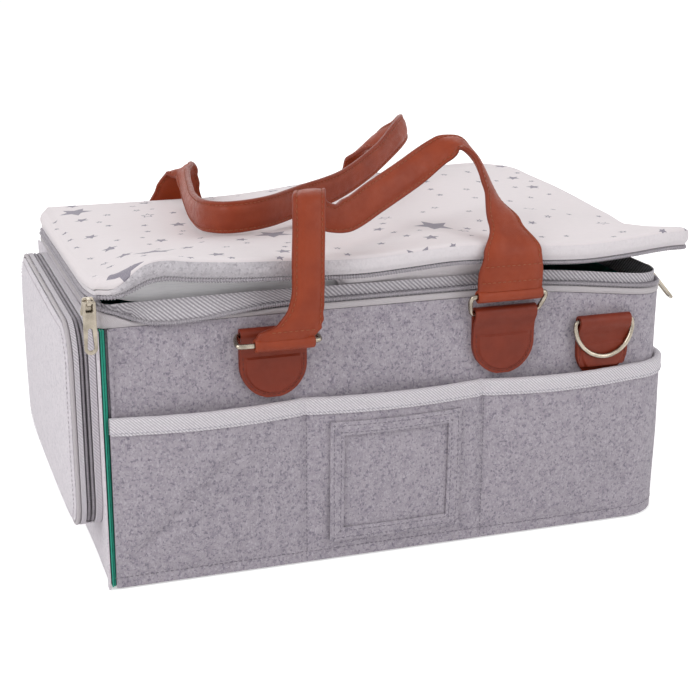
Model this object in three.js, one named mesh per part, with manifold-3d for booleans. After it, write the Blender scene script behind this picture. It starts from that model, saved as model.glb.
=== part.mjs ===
// A felt caddy tote with a zipped star-print lid, two leather handles and a zipped end pocket.
// Millimetres. +X runs along the long front towards the rounded right end, -Y is the front, +Z is up.
// The origin is the centre of the underside, on the surface that the bag stands on.
import * as THREE from 'three';
import { mergeVertices } from 'three/addons/utils/BufferGeometryUtils.js';
import Module from 'manifold-3d';

// Body
const bodyLength = 380;
const bodyDepth = 256;
const wallHeight = 164;
const cornerRadius = 28;
const feltThickness = 3;
const liningThickness = 1;
const boardThickness = 2;
const seamStandOut = 4;
const clearance = 0.3;

// Pockets round the front, the right end and the back
const pocketHeight = 110;
const frontStitchLeft = -67;
const frontStitchRight = 52;
const leftBayFullness = 9;
const middleBayFullness = 6.5;
const rightBayFullness = 7;
const endBayFullness = 7;
const pocketFloor = 8;
const bindingWidth = 10.5;
const bindingThickness = 0.8;
const labelWidth = 88;
const labelHeight = 81;
const labelBorder = 9;
const labelThickness = 1.6;

// Rim and its zip
const rimStripHeight = 4;
const rimTapeHeight = 13.5;
const rimTapeThickness = 1.2;
const rimWaveHeight = 4;
const rimWaveRun = 190;
const cornerLift = 8;
const liftRun = 60;
const rimSag = 10;
const sagRun = 90;
const coilRadius = 1.6;

// Lid
const lidEdgeTapeHeight = 6;
const lidEdgeTapeThickness = 1.2;
const lidSkirtHeight = 4.5;
const lidFabricThickness = 2;
const lidLiningThickness = 1;
const lidCrown = 3;
const lidRise = 26;
const lidOpening = 14;
const lidLip = 4.5;
const facingHeight = 17;
const facingStart = 14;
const facingLength = 150;

// Leather tabs, handles and rings
const handleLeftInset = 104;
const handleRightInset = 124;
const handleTabWidth = 42;
const tabAbovePocket = 3;
const tabPivotDrop = 10;
const leatherThickness = 2;
const wireRadius = 1.6;
const wireClearance = 0.5;
const handleRingReach = 14;
const handleRingTilt = 26;
const leftRingTilt = 103;
const handleEndExtra = 2;
const leftFoldShift = 3;
const leftFoldNarrower = 5;
const strapWidth = 21;
const strapThickness = 5;
const shoulderTabWidth = 36.5;
const rearShoulderGap = 11.75;
const tongueAbovePocket = 1;
const tongueLength = 8;
const tongueThickness = 1.3;
const shoulderRingDrop = 3;
const shoulderRingPlay = 0.75;
const shoulderRingAbovePocket = 6.8;
const shoulderRingTilt = 7;

// Zip sliders and pulls
const sliderWidth = 9.4;
const sliderHeight = 11;
const sliderThickness = 2;
const lugStandOut = 3.8;
const plateDrop = 3;
const pullWidth = 8.6;
const pullLength = 31;
const pullThickness = 1.6;
const leftSliderOut = 5.5;
const rightSliderInset = 46;
const rightPullAngle = 41;
const endSliderRise = 8;
const endPullLength = 27;

// End pocket on the left end
const endPocketMargin = 14;
const endPocketBottom = 30;
const endPocketDrop = 1;
const endPocketRadius = 24;
const gussetThickness = 2;
const innerGussetDepth = 4;
const outerGussetDepth = 3;
const endCoilRadius = 1.2;
const endZipRise = 14;
const pipingRadius = 1.3;
const facePuff = 6;

const halfLength = bodyLength / 2;
const halfDepth = bodyDepth / 2;

// Heights and places that follow the wall, the pockets and the pieces beside them
const lidHingeHeight = wallHeight + lidRise;
const bindingFoot = pocketHeight - bindingWidth;
// 26 parts in 37 of the felt that the label leaves free lie below it
const labelBottom = ((bindingFoot - labelHeight) * 26) / 37;
const handleLeftX = -halfLength + handleLeftInset;
const handleRightX = halfLength - handleRightInset;
const tabBottom = pocketHeight + tabAbovePocket;
const tabPivotHeight = wallHeight - tabPivotDrop;
const handleEndWidth = handleTabWidth + handleEndExtra;
const leftFoldWidth = handleTabWidth - leftFoldNarrower;
const tongueTop = pocketHeight + tongueAbovePocket;
const shoulderTabBottom = tongueTop - tongueLength;
const shoulderRingRadius = shoulderTabWidth / 2 + wireRadius + shoulderRingPlay;
const shoulderPivotHeight = pocketHeight + shoulderRingAbovePocket + wireRadius + shoulderRingRadius + shoulderRingDrop;
// The front one stands two thirds of the way from the right handle's tab to the corner.
const shoulderX = (handleRightX + handleTabWidth / 2 + 2 * (halfLength - cornerRadius)) / 3;
const rearShoulderX = handleLeftX - (handleTabWidth + shoulderTabWidth) / 2 - rearShoulderGap;
const endPocketWidth = bodyDepth - 2 * endPocketMargin;
const endPocketTop = wallHeight - endPocketDrop;
const endZipBottom = endPocketBottom + endZipRise;
const endSliderHeight = endZipBottom + endSliderRise;
const leftSliderX = -halfLength - leftSliderOut;
const rightSliderY = -halfDepth + rightSliderInset;

const felt = finish(0xa5a0a8, 0.95, 0);
const paleFelt = finish(0xbcb9c0, 0.95, 0);
const lining = finish(0x1f7d6b, 0.8, 0);
const board = finish(0x8d8a84, 0.8, 0);
const twill = finish(0xc9c6cc, 0.9, 0);
const starFabric = finish(0xe9e4e6, 0.85, 0);
const whiteLining = finish(0xeeecee, 0.85, 0);
const coil = finish(0xa9a6ad, 0.6, 0);
const leather = finish(0x9a4a28, 0.5, 0);
const nickel = finish(0xd2cdc4, 0.3, 1);

const wasm = await Module();
wasm.setup();
const bag = new THREE.Group();

function finish(color, roughness, metalness) {
  return new THREE.MeshStandardMaterial({ color, roughness, metalness });
}

function add(name, geometry, material) {
  const mesh = new THREE.Mesh(geometry, material);
  mesh.name = name;
  bag.add(mesh);
  return mesh;
}

const v2 = (x, y) => new THREE.Vector2(x, y);
const v3 = (x, y, z) => new THREE.Vector3(x, y, z);
const rad = THREE.MathUtils.degToRad;
const smooth = (x, low, high) => THREE.MathUtils.smoothstep(x, low, high);

// Solids and booleans
function toSolid(geometry) {
  let bare = geometry.clone();
  bare.deleteAttribute('normal');
  bare.deleteAttribute('uv');
  bare = mergeVertices(bare, 1e-4);
  const vertProperties = Float32Array.from(bare.attributes.position.array);
  const triVerts = Uint32Array.from(bare.index.array);
  return new wasm.Manifold(new wasm.Mesh({ numProp: 3, vertProperties, triVerts }));
}

function toGeometry(solid) {
  const mesh = solid.getMesh();
  const geometry = new THREE.BufferGeometry();
  geometry.setAttribute('position', new THREE.BufferAttribute(mesh.vertProperties, 3));
  geometry.setIndex(new THREE.BufferAttribute(mesh.triVerts, 1));
  return geometry;
}

const join = (first, ...rest) => toGeometry(rest.reduce((sum, g) => sum.add(toSolid(g)), toSolid(first)));
const cut = (first, ...rest) => toGeometry(rest.reduce((left, g) => left.subtract(toSolid(g)), toSolid(first)));
const common = (a, b) => toGeometry(toSolid(a).intersect(toSolid(b)));

function box(x0, x1, y0, y1, z0, z1) {
  const geometry = new THREE.BoxGeometry(x1 - x0, y1 - y0, z1 - z0);
  return geometry.translate((x0 + x1) / 2, (y0 + y1) / 2, (z0 + z1) / 2);
}

// A closed skin through rings of points, each ring with as many points as the next.
// The ends are capped with the triangles of a flat outline that has the same points.
function loft(rings, capOutline) {
  const count = rings[0].length;
  const positions = rings.flat().flatMap((p) => [p.x, p.y, p.z]);
  const faces = [];
  for (let i = 0; i + 1 < rings.length; i++) {
    for (let j = 0; j < count; j++) {
      const a = i * count + j;
      const b = i * count + ((j + 1) % count);
      faces.push(a, b, b + count, a, b + count, a + count);
    }
  }
  const last = (rings.length - 1) * count;
  const turn = Math.sign(THREE.ShapeUtils.area(capOutline));
  for (const triangle of THREE.ShapeUtils.triangulateShape(capOutline, [])) {
    const corners = triangle.map((i) => capOutline[i]);
    const [a, b, c] = Math.sign(THREE.ShapeUtils.area(corners)) === turn ? triangle : triangle.toReversed();
    faces.push(a, c, b, last + a, last + b, last + c);
  }
  return outwards(positions, faces);
}

// The same skin for rings that shrink to a point at both ends.
function loftToPoles(rings, firstPole, lastPole) {
  const count = rings[0].length;
  const positions = rings.flat().concat([firstPole, lastPole]).flatMap((p) => [p.x, p.y, p.z]);
  const faces = [];
  const first = rings.length * count;
  const lastRow = (rings.length - 1) * count;
  for (let j = 0; j < count; j++) {
    const next = (j + 1) % count;
    faces.push(first, next, j, first + 1, lastRow + j, lastRow + next);
    for (let i = 0; i + 1 < rings.length; i++) {
      const a = i * count + j;
      const b = i * count + next;
      faces.push(a, b, b + count, a, b + count, a + count);
    }
  }
  return outwards(positions, faces);
}

function outwards(positions, faces) {
  const at = (i) => v3(positions[3 * i], positions[3 * i + 1], positions[3 * i + 2]);
  let volume = 0;
  for (let i = 0; i < faces.length; i += 3) {
    volume += at(faces[i]).dot(at(faces[i + 1]).cross(at(faces[i + 2])));
  }
  if (volume < 0) {
    for (let i = 0; i < faces.length; i += 3) [faces[i], faces[i + 1]] = [faces[i + 1], faces[i]];
  }
  const geometry = new THREE.BufferGeometry();
  geometry.setAttribute('position', new THREE.Float32BufferAttribute(positions, 3));
  geometry.setIndex(faces);
  return geometry;
}

// The wall's run, measured from the front left corner: front, right end, back.
const frontRun = bodyLength - cornerRadius;
const cornerRun = (Math.PI / 2) * cornerRadius;
const endRun = bodyDepth - 2 * cornerRadius;
const wallRun = 2 * frontRun + 2 * cornerRun + endRun;
const rightCornerStart = frontRun;
const endStart = frontRun + cornerRun;
const backCornerStart = endStart + endRun;
const backStart = backCornerStart + cornerRun;

// A point at a run s (negative along the left end), a distance out from the felt's face, and a height.
function onWall(s, out, z) {
  if (s < 0) return v3(-halfLength - out, -halfDepth - s, z);
  if (s === 0) return v3(-halfLength - out, -halfDepth - out, z);
  if (s <= frontRun) return v3(-halfLength + s, -halfDepth - out, z);
  const reach = cornerRadius + out;
  const centre = halfLength - cornerRadius;
  if (s < endStart) {
    const a = (s - frontRun) / cornerRadius - Math.PI / 2;
    return v3(centre + reach * Math.cos(a), -halfDepth + cornerRadius + reach * Math.sin(a), z);
  }
  if (s <= backCornerStart) return v3(halfLength + out, -halfDepth + cornerRadius + s - endStart, z);
  if (s < backStart) {
    const a = (s - backCornerStart) / cornerRadius;
    return v3(centre + reach * Math.cos(a), halfDepth - cornerRadius + reach * Math.sin(a), z);
  }
  return v3(centre - (s - backStart), halfDepth + out, z);
}

const cornerSteps = 6;

// Runs from start to end that stop at every corner and at equal steps between the given marks.
function runs(start, end, marks = [], steps = 1) {
  const list = [start];
  const all = [...marks, 0, rightCornerStart, endStart, backCornerStart, backStart, end];
  const stops = all.filter((s) => s > start && s <= end).sort((a, b) => a - b);
  for (const stop of stops) {
    const from = list[list.length - 1];
    if (stop - from < 1e-6) continue;
    const round = from === rightCornerStart || from === backCornerStart;
    const parts = round ? cornerSteps : steps;
    for (let i = 1; i <= parts; i++) list.push(i === parts ? stop : from + ((stop - from) * i) / parts);
  }
  return list;
}

// A strip round the wall whose section is a list of [out, z], which may change along the run.
function wallStrip(stations, section) {
  const rings = stations.map((s) => section(s).map(([out, z]) => onWall(s, out, z)));
  const outline = section(stations[0]).map(([out, z]) => v2(out, z));
  return loft(rings, outline);
}

// Walls, base and lining
const flangeOuter = -halfLength + 2 * feltThickness + 2 * liningThickness + 2 * clearance + 0.4;
const flangeInner = flangeOuter + feltThickness;
const wallStart = flangeOuter + halfLength;

// The rim sags towards the front right corner and comes level again along the right end.
function sagAt(s) {
  const back = backCornerStart;
  return rimSag * smooth(s, endStart - cornerRun - sagRun, endStart - 10) * (1 - smooth(s, endStart + 30, back));
}
const wallTop = (s) => wallHeight - sagAt(s);
const sagMarks = [rightCornerStart - sagRun];

function makeWalls() {
  const stations = runs(wallStart, wallRun - wallStart, sagMarks, 5);
  const strip = wallStrip(stations, (s) => [[0, 0], [0, wallTop(s)], [-feltThickness, wallTop(s)], [-feltThickness, 0]]);
  const inner = halfDepth - feltThickness;
  const outer = halfDepth + seamStandOut;
  const frontFlange = box(flangeOuter, flangeInner, -outer, -inner, 0, wallHeight);
  const backFlange = box(flangeOuter, flangeInner, inner, outer, 0, wallHeight);
  add('wall_strip', join(strip, frontFlange, backFlange), felt);
  const leftOuter = -halfLength;
  add('left_wall', box(leftOuter, leftOuter + feltThickness, -outer, outer, 0, wallHeight), felt);
  const seamFrom = leftOuter + feltThickness + clearance;
  const seamTo = flangeOuter - clearance;
  const seamIn = inner + clearance;
  add('seam_lining_front', box(seamFrom, seamTo, -outer, -seamIn, 1, wallHeight), lining);
  add('seam_lining_back', box(seamFrom, seamTo, seamIn, outer, 1, wallHeight), lining);
}

// A flat outline inside the walls, with the two right corners round.
function innerOutline(inset) {
  const shape = new THREE.Shape();
  const left = -halfLength + inset;
  const right = halfLength - inset;
  const half = halfDepth - inset;
  const r = cornerRadius - inset;
  shape.moveTo(left, -half);
  shape.lineTo(right - r, -half);
  shape.absarc(right - r, -half + r, r, -Math.PI / 2, 0, false);
  shape.lineTo(right, half - r);
  shape.absarc(right - r, half - r, r, 0, Math.PI / 2, false);
  shape.lineTo(left, half);
  shape.closePath();
  return shape;
}

function slab(shape, z0, z1) {
  const options = { depth: z1 - z0, bevelEnabled: false, curveSegments: cornerSteps };
  return new THREE.ExtrudeGeometry(shape, options).translate(0, 0, z0);
}

function makeBase() {
  const wallInset = feltThickness + clearance;
  const liningInset = wallInset + liningThickness + clearance;
  const boardFrom = feltThickness + clearance;
  const liningFrom = boardFrom + boardThickness + clearance;
  add('base_panel', slab(innerOutline(wallInset), 0, feltThickness), felt);
  add('base_board', slab(innerOutline(liningInset), boardFrom, boardFrom + boardThickness), board);
  add('base_lining', slab(innerOutline(liningInset), liningFrom, liningFrom + liningThickness), lining);
  const ring = innerOutline(wallInset);
  ring.holes.push(innerOutline(wallInset + liningThickness));
  add('wall_lining', slab(ring, boardFrom, wallHeight - rimSag - clearance), lining);
}

// Pocket band: sewn flat at its stitch lines and full between them.
const stitchRuns = [frontStitchLeft + halfLength, frontStitchRight + halfLength];
const bandStart = flangeInner + halfLength + 1;
const bays = [
  [bandStart, stitchRuns[0], leftBayFullness],
  [stitchRuns[0], stitchRuns[1], middleBayFullness],
  [stitchRuns[1], rightCornerStart, rightBayFullness],
  [endStart, backCornerStart, endBayFullness],
  [backStart, wallRun - stitchRuns[1], rightBayFullness],
  [wallRun - stitchRuns[1], wallRun - stitchRuns[0], middleBayFullness],
  [wallRun - stitchRuns[0], wallRun - bandStart, leftBayFullness],
];
const bindingRoom = 2 * clearance + bindingThickness;
const bandTop = pocketHeight - bindingThickness - clearance;

function bandGap(s, z) {
  const bay = bays.find(([from, to]) => s > from && s < to);
  const opening = Math.sqrt(THREE.MathUtils.clamp((z - pocketFloor) / (bindingFoot - pocketFloor - 3), 0, 1));
  const fullness = bay ? bay[2] * Math.sin((Math.PI * (s - bay[0])) / (bay[1] - bay[0])) : 0;
  return clearance + opening * (bindingRoom - clearance + fullness);
}

function makePockets() {
  const marks = bays.flatMap(([from, to]) => [from, to]);
  const stations = runs(bandStart, wallRun - bandStart, marks, 6);
  const middle = [20, 42, 70].map((z) => (pocketHeight * z) / 110);
  const levels = [0.5, pocketFloor, ...middle, bindingFoot - 3, bandTop];
  add('pocket_band', wallStrip(stations, (s) => [
    ...levels.map((z) => [bandGap(s, z), z]),
    ...levels.toReversed().map((z) => [bandGap(s, z) + feltThickness, z]),
  ]), felt);
  add('pocket_binding', wallStrip(stations, (s) => {
    const inner = bandGap(s, pocketHeight) - clearance;
    const outer = inner + feltThickness + 2 * clearance;
    const t = bindingThickness;
    return [
      [inner - t, bindingFoot], [inner, bindingFoot], [inner, pocketHeight - t], [outer, pocketHeight - t],
      [outer, bindingFoot], [outer + t, bindingFoot], [outer + t, pocketHeight], [inner - t, pocketHeight],
    ];
  }), twill);
}

// The felt frame of the label window follows the middle pocket's face.
function makeLabelFrame() {
  const middle = (stitchRuns[0] + stitchRuns[1]) / 2;
  const plate = (width, low, high, from, to) => {
    const stations = Array.from({ length: 9 }, (_, i) => middle + (i / 8 - 0.5) * width);
    const levels = Array.from({ length: 7 }, (_, i) => low + (i / 6) * (high - low));
    const face = (s, z) => bandGap(s, z) + feltThickness;
    return wallStrip(stations, (s) => [
      ...levels.map((z) => [face(s, z) + from, z]),
      ...levels.toReversed().map((z) => [face(s, z) + to, z]),
    ]);
  };
  const top = labelBottom + labelHeight;
  const outer = plate(labelWidth, labelBottom, top, clearance, clearance + labelThickness);
  const hole = plate(labelWidth - 2 * labelBorder, labelBottom + labelBorder, top - labelBorder, -labelThickness, 4 * labelThickness);
  add('label_frame', cut(outer, hole), paleFelt);
}

// Rim: a smooth strip on the felt's edge, the zip's coil and its tape behind it.
const rimStart = -bodyDepth + feltThickness;
const rimEnd = backStart;
const coilHeight = wallHeight + clearance + rimStripHeight + clearance + coilRadius;
const coilOut = -0.5;
const tapeOut = coilOut - coilRadius - 2 * clearance;
const rimTapeBottom = wallHeight + clearance;

function hexagon(radius, out, z) {
  return Array.from({ length: 6 }, (_, i) => {
    const a = (Math.PI / 3) * i;
    return [out + radius * Math.cos(a), z + radius * Math.sin(a)];
  });
}

const rimWave = (s) => (s > 0 && s < rimWaveRun ? rimWaveHeight * Math.sin((Math.PI * s) / rimWaveRun) ** 2 : 0);
const liftAt = (s) => cornerLift * (1 - smooth(Math.abs(s), 0, liftRun));

function makeRim() {
  const stations = runs(rimStart, rimEnd, [-liftRun, liftRun, ...sagMarks], 5);
  add('rim_strip', wallStrip(stations, (s) => {
    const low = wallTop(s) + clearance;
    const top = low + rimStripHeight + liftAt(s);
    return [[0, low], [0, top], [tapeOut + clearance, top], [tapeOut + clearance, low]];
  }), twill);
  add('rim_coil', wallStrip(stations, (s) => (
    hexagon(coilRadius, coilOut, coilHeight + liftAt(s) - sagAt(s))
  )), coil);
  const wavy = runs(rimStart, rimEnd, [rimWaveRun, ...sagMarks], 5);
  add('rim_tape', wallStrip(wavy, (s) => {
    const low = rimTapeBottom - sagAt(s);
    const top = low + rimTapeHeight + rimWave(s);
    const back = tapeOut - rimTapeThickness;
    return [[tapeOut, low], [tapeOut, top], [back, top], [back, low]];
  }), twill);
}

// The free edge of the lid: along the closed left side, up at the open front, out at the front right
// corner and back along the closed part of the right end.
const lidCoilHeight = coilHeight + 2 * coilRadius + 2 * clearance;
const sideCoil = halfLength + coilOut;
const frontLip = -halfDepth - lidLip;
// Places along the edge were laid out on a bag of 190 and 128 to each side, whose lid stands open by 14.
const lengthwise = (x) => (halfLength * x) / 190;
const depthwise = (y) => (halfDepth * y) / 128;
const open = (up) => lidCoilHeight + (lidOpening * up) / 14;
const edgeCurve = new THREE.CatmullRomCurve3([
  v3(-sideCoil, halfDepth - 9, lidCoilHeight),
  v3(-sideCoil, depthwise(60), lidCoilHeight),
  v3(-sideCoil, depthwise(-20), lidCoilHeight),
  v3(-sideCoil, -halfDepth + liftRun, lidCoilHeight + 0.3),
  v3(-sideCoil, -halfDepth + 0.55 * liftRun, lidCoilHeight + 0.5 * cornerLift),
  v3(-sideCoil, -halfDepth + liftRun / 6, lidCoilHeight + cornerLift),
  v3(-sideCoil + 0.4, -halfDepth - 2, open(4.6) + cornerLift),
  v3(-sideCoil + 12, frontLip, open(13)),
  v3(lengthwise(-158), frontLip, open(14)),
  v3(lengthwise(-109), frontLip, open(13)),
  v3(lengthwise(-60), frontLip, open(11.5)),
  v3(lengthwise(-10), frontLip, open(11)),
  v3(lengthwise(32), frontLip - 1, open(13)),
  v3(lengthwise(62), frontLip - 0.5, open(8)),
  v3(lengthwise(95), frontLip, open(4)),
  v3(lengthwise(139), frontLip, open(1)),
  v3(lengthwise(180), frontLip, open(3)),
  v3(halfLength + 12, -halfDepth + 1, open(5)),
  v3(halfLength + 18, -halfDepth + 11.5, open(5)),
  v3(halfLength + 14.5, -halfDepth + 22, open(1)),
  v3(halfLength + 6, -halfDepth + 30.5, lidCoilHeight - rimSag + 4),
  v3(halfLength, -halfDepth + 39.5, lidCoilHeight - rimSag + 0.5),
  ...[-72, -50, -20, 10, 40, 70].map(depthwise).map((y) => (
    v3(sideCoil, y, lidCoilHeight - sagAt(endStart + halfDepth - cornerRadius + y))
  )),
  ...[0, 0.25, 0.5, 0.75, 0.97].map((share) => onWall(backCornerStart + share * cornerRun, coilOut, lidCoilHeight)),
], false, 'centripetal');
// Shares of the edge's length and the steps up to each: closer at the corners.
const edgeSpans = [[0.2, 6], [0.29, 9], [0.66, 20], [0.78, 14], [0.95, 9], [1, 6]];
const edgeShares = edgeSpans.reduce((list, [share, steps]) => {
  const from = list.at(-1);
  return [...list, ...Array.from({ length: steps }, (_, i) => from + ((share - from) * (i + 1)) / steps)];
}, [0]);
edgeCurve.arcLengthDivisions = 800;
const edgePoints = edgeShares.map((share) => edgeCurve.getPointAt(share));
const edgeSteps = edgePoints.length - 1;
const zipSteps = edgeSteps - edgeSpans.at(-1)[1];

// Outward directions across the edge, level with the rim.
function edgeNormals() {
  return edgePoints.map((_, i) => {
    const before = edgePoints[Math.max(i - 1, 0)];
    const after = edgePoints[Math.min(i + 1, edgeSteps)];
    return v3(after.y - before.y, before.x - after.x, 0).normalize();
  });
}
const edgeOut = edgeNormals();

// A strip hung on the lid's edge; its section is a list of [out, up] about the coil's centre.
function edgeStrip(section) {
  const rings = [];
  for (let i = 0; i <= zipSteps; i++) {
    rings.push(section.map(([out, up]) => edgePoints[i].clone().addScaledVector(edgeOut[i], out).setZ(edgePoints[i].z + up)));
  }
  return loft(rings, section.map(([out, up]) => v2(out, up)));
}

// The lid's back edge, sewn to the upright back skirt, is higher towards the right.
const backFold = halfDepth - 0.4;
const backEdgeHeight = (x) => lidHingeHeight - 1 + 11 * smooth(x, -70, 80);

// Closed loop round the lid at the foot of its skirt, then at its shoulder.
function lidLoop(out, up, backInset, backUp) {
  const loop = edgePoints.map((p, i) => p.clone().addScaledVector(edgeOut[i], out).setZ(p.z + up));
  const backSteps = 12;
  const right = halfLength - cornerRadius - 6;
  const left = -sideCoil + 7;
  for (let i = 0; i <= backSteps; i++) {
    const x = right + ((left - right) * i) / backSteps;
    loop.push(v3(x, backFold - backInset, backEdgeHeight(x) + backUp));
  }
  return loop;
}

// Rings between a loop and a ridge along the middle; the sheet is slack at the left and fuller at the right.
function lidRings(loop, shares, drop) {
  const ridge = lengthwise(60);
  return shares.map((share) => loop.map((p) => {
    const x = THREE.MathUtils.lerp(p.x, THREE.MathUtils.clamp(p.x, -ridge, ridge), share);
    const y = THREE.MathUtils.lerp(p.y, 0, share);
    const middle = lidHingeHeight + 2 + 10 * smooth(x, -90, 90);
    const crown = lidCrown * Math.sin(Math.PI * Math.min(share * 1.4, 1));
    return v3(x, y, THREE.MathUtils.lerp(p.z, middle, smooth(share, 0, 1)) + crown - drop);
  }));
}

const tapeFoot = coilRadius + clearance;
const tapeTop = tapeFoot + lidEdgeTapeHeight;
const lidShoulder = tapeTop + clearance + lidSkirtHeight;
const underLoop = () => lidLoop(-4, lidShoulder - lidFabricThickness, 4, -lidFabricThickness);

function makeLid() {
  const half = lidEdgeTapeThickness / 2;
  add('lid_coil', edgeStrip(hexagon(coilRadius, 0, 0)), coil);
  add('lid_edge_tape', edgeStrip([[-half, tapeFoot], [half, tapeFoot], [half, tapeTop], [-half, tapeTop]]), twill);

  const foot = tapeTop + clearance;
  const t = lidFabricThickness;
  const shares = [0.05, 0.2, 0.45, 0.75];
  const outerFoot = lidLoop(1, foot, 0, -t);
  const outerShoulder = lidLoop(0, lidShoulder - 2, 1, -0.6);
  const top = lidLoop(-4, lidShoulder, 4, 0);
  const innerFoot = lidLoop(1 - t, foot, 1.5, -t);
  const innerShoulder = lidLoop(-t - 1, lidShoulder - 3.4, 2.5, -t - 0.2);
  const under = underLoop();
  const topRings = lidRings(top, shares, 0);
  const underRings = lidRings(under, shares, 0);
  const peak = v3(0, 0, topRings.at(-1).reduce((sum, p) => sum + p.z, 0) / topRings.at(-1).length);
  add('lid_top', loftToPoles(
    [...topRings.toReversed(), top, outerShoulder, outerFoot, innerFoot, innerShoulder, under, ...underRings],
    peak,
    peak.clone().setZ(peak.z - t),
  ), starFabric);

  const liningDrop = 2 * clearance;
  const liningPole = peak.clone().setZ(peak.z - t - liningDrop);
  add('lid_lining', loftToPoles(
    [
      ...lidRings(under, shares, liningDrop + lidLiningThickness).toReversed(),
      ...lidRings(under, shares, liningDrop),
    ],
    liningPole.clone().setZ(liningPole.z - lidLiningThickness),
    liningPole,
  ), whiteLining);
}

// The white facing hangs from the lid's lining inside the open front.
function makeFacing() {
  const t = lidLiningThickness;
  const hemShare = 0.07;
  const [hem] = lidRings(underLoop(), [hemShare], t + 4 * clearance);
  const end = -halfLength + facingStart + facingLength;
  const stations = hem.filter((p, i) => edgePoints[i]?.y < frontLip + 1 && p.x > -halfLength + facingStart && p.x < end);
  const rings = stations.map((p) => [[0, 0], [t, 0], [t, -facingHeight], [0, -facingHeight]]
    .map(([dy, dz]) => v3(p.x, p.y + dy, p.z + dz)));
  add('lid_facing', loft(rings, [v2(0, facingHeight), v2(t, facingHeight), v2(t, 0), v2(0, 0)]), whiteLining);
}

// The upright star-print skirt between the back wall and the lid's fold stays with the body.
function makeBackSkirt() {
  const count = 12;
  const from = -halfLength + 8;
  const to = halfLength - cornerRadius - 7;
  const low = wallHeight + clearance;
  const rings = Array.from({ length: count + 1 }, (_, i) => {
    const x = from + ((to - from) * i) / count;
    const top = backEdgeHeight(x) - 2 * lidFabricThickness - 2 * clearance;
    return [[halfDepth - 3, low], [halfDepth - 1, low], [halfDepth - 1, top], [halfDepth - 3, top]]
      .map(([y, z]) => v3(x, y, z));
  });
  add('back_skirt', loft(rings, [v2(0, 0), v2(1, 0), v2(1, 1), v2(0, 1)]), starFabric);
}

// Parts on the front wall are drawn with their distance out as +out; the rear ones are turned round.
function onFace(geometry, x, rear) {
  if (rear) geometry.rotateZ(Math.PI);
  return geometry.translate(x, (rear ? 1 : -1) * halfDepth, 0);
}

// A prism of an outline drawn in (out, z), as wide as width along X, about x = 0.
function prismAcross(points, width, holes = []) {
  const shape = new THREE.Shape(points.map(([out, z]) => v2(z, out)));
  for (const [radius, out, z] of holes) {
    shape.holes.push(new THREE.Path().absarc(z, out, radius, 0, 2 * Math.PI, true));
  }
  const geometry = new THREE.ExtrudeGeometry(shape, { depth: width, bevelEnabled: false, curveSegments: 6 });
  // Shape x is height, shape y is distance out, depth runs along X.
  const toFace = new THREE.Matrix4().makeBasis(v3(0, 0, 1), v3(0, -1, 0), v3(1, 0, 0));
  return geometry.translate(0, 0, -width / 2).applyMatrix4(toFace);
}

function arc(centre, radius, from, to, count) {
  return Array.from({ length: count + 1 }, (_, i) => {
    const a = rad(from + ((to - from) * i) / count);
    return [centre[0] + radius * Math.cos(a), centre[1] + radius * Math.sin(a)];
  });
}

const loopHole = wireRadius + wireClearance;
const loopRadius = loopHole + leatherThickness;
const pivotOut = clearance + loopRadius;

// A leather tab: folded over the ring's wire at the top, two layers deep below, with a round foot.
// Below a pocket's edge only a thin tongue goes on.
function makeTab(name, x, rear, width, pivotHeight, bottom) {
  const front = clearance + 2 * leatherThickness;
  const doubleTo = Math.max(bottom, tongueTop);
  const tongue = bottom < tongueTop ? [[clearance + tongueThickness, tongueTop]] : [];
  const outline = [
    [clearance, bottom], [clearance, pivotHeight],
    ...arc([pivotOut, pivotHeight], loopRadius, 180, 0, 8).slice(1),
    [pivotOut + loopRadius - 0.6, pivotHeight - 3.5], [front + 0.8, pivotHeight - 8], [front, pivotHeight - 10],
    [front, doubleTo], ...tongue, [tongue.length ? clearance + tongueThickness : front - 0.01, bottom],
  ];
  const body = prismAcross(outline, width, [[loopHole, pivotOut, pivotHeight]]);
  const foot = new THREE.Shape();
  const r = width / 2;
  foot.moveTo(r, pivotHeight + loopRadius + 1);
  foot.lineTo(-r, pivotHeight + loopRadius + 1);
  foot.lineTo(-r, bottom + r);
  foot.absarc(0, bottom + r, r, Math.PI, 2 * Math.PI, false);
  foot.closePath();
  const cutter = new THREE.ExtrudeGeometry(foot, { depth: 30, bevelEnabled: false, curveSegments: 6 });
  cutter.rotateX(Math.PI / 2).translate(0, 10, 0);
  add(name, onFace(common(body, cutter), x, rear), leather);
}

// A wire ring whose straight bar lies in the tab; its two ends meet inside the fold.
function makeRing(name, x, rear, half, pivotHeight, tilt) {
  const points = [[0.35, 0], ...half, ...half.toReversed().map(([u, v]) => [-u, v]), [-0.35, 0]];
  const path = new THREE.CatmullRomCurve3(points.map(([u, v]) => v3(u, 0, v)), false, 'catmullrom', 0.35);
  const wire = new THREE.Shape().absarc(0, 0, wireRadius, 0, 2 * Math.PI, false);
  const geometry = new THREE.ExtrudeGeometry(wire, { steps: 34, extrudePath: path, curveSegments: 3, bevelEnabled: false });
  geometry.rotateX(rad(tilt)).translate(0, -pivotOut, pivotHeight);
  add(name, onFace(geometry, x, rear), nickel);
}

// Half of a handle ring, seen from the front, with its bar at height 0 and its top bar at the reach.
const ringSide = handleTabWidth / 2 + clearance + wireRadius + 0.6;
const handleRingHalf = [
  [10, 0], [ringSide - 3, 0], [ringSide - 0.5, 1.2], [ringSide + 1, 5], [ringSide + 2, 10],
  [ringSide + 1.4, handleRingReach - 0.8], [ringSide - 2, handleRingReach], [10, handleRingReach],
];

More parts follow.
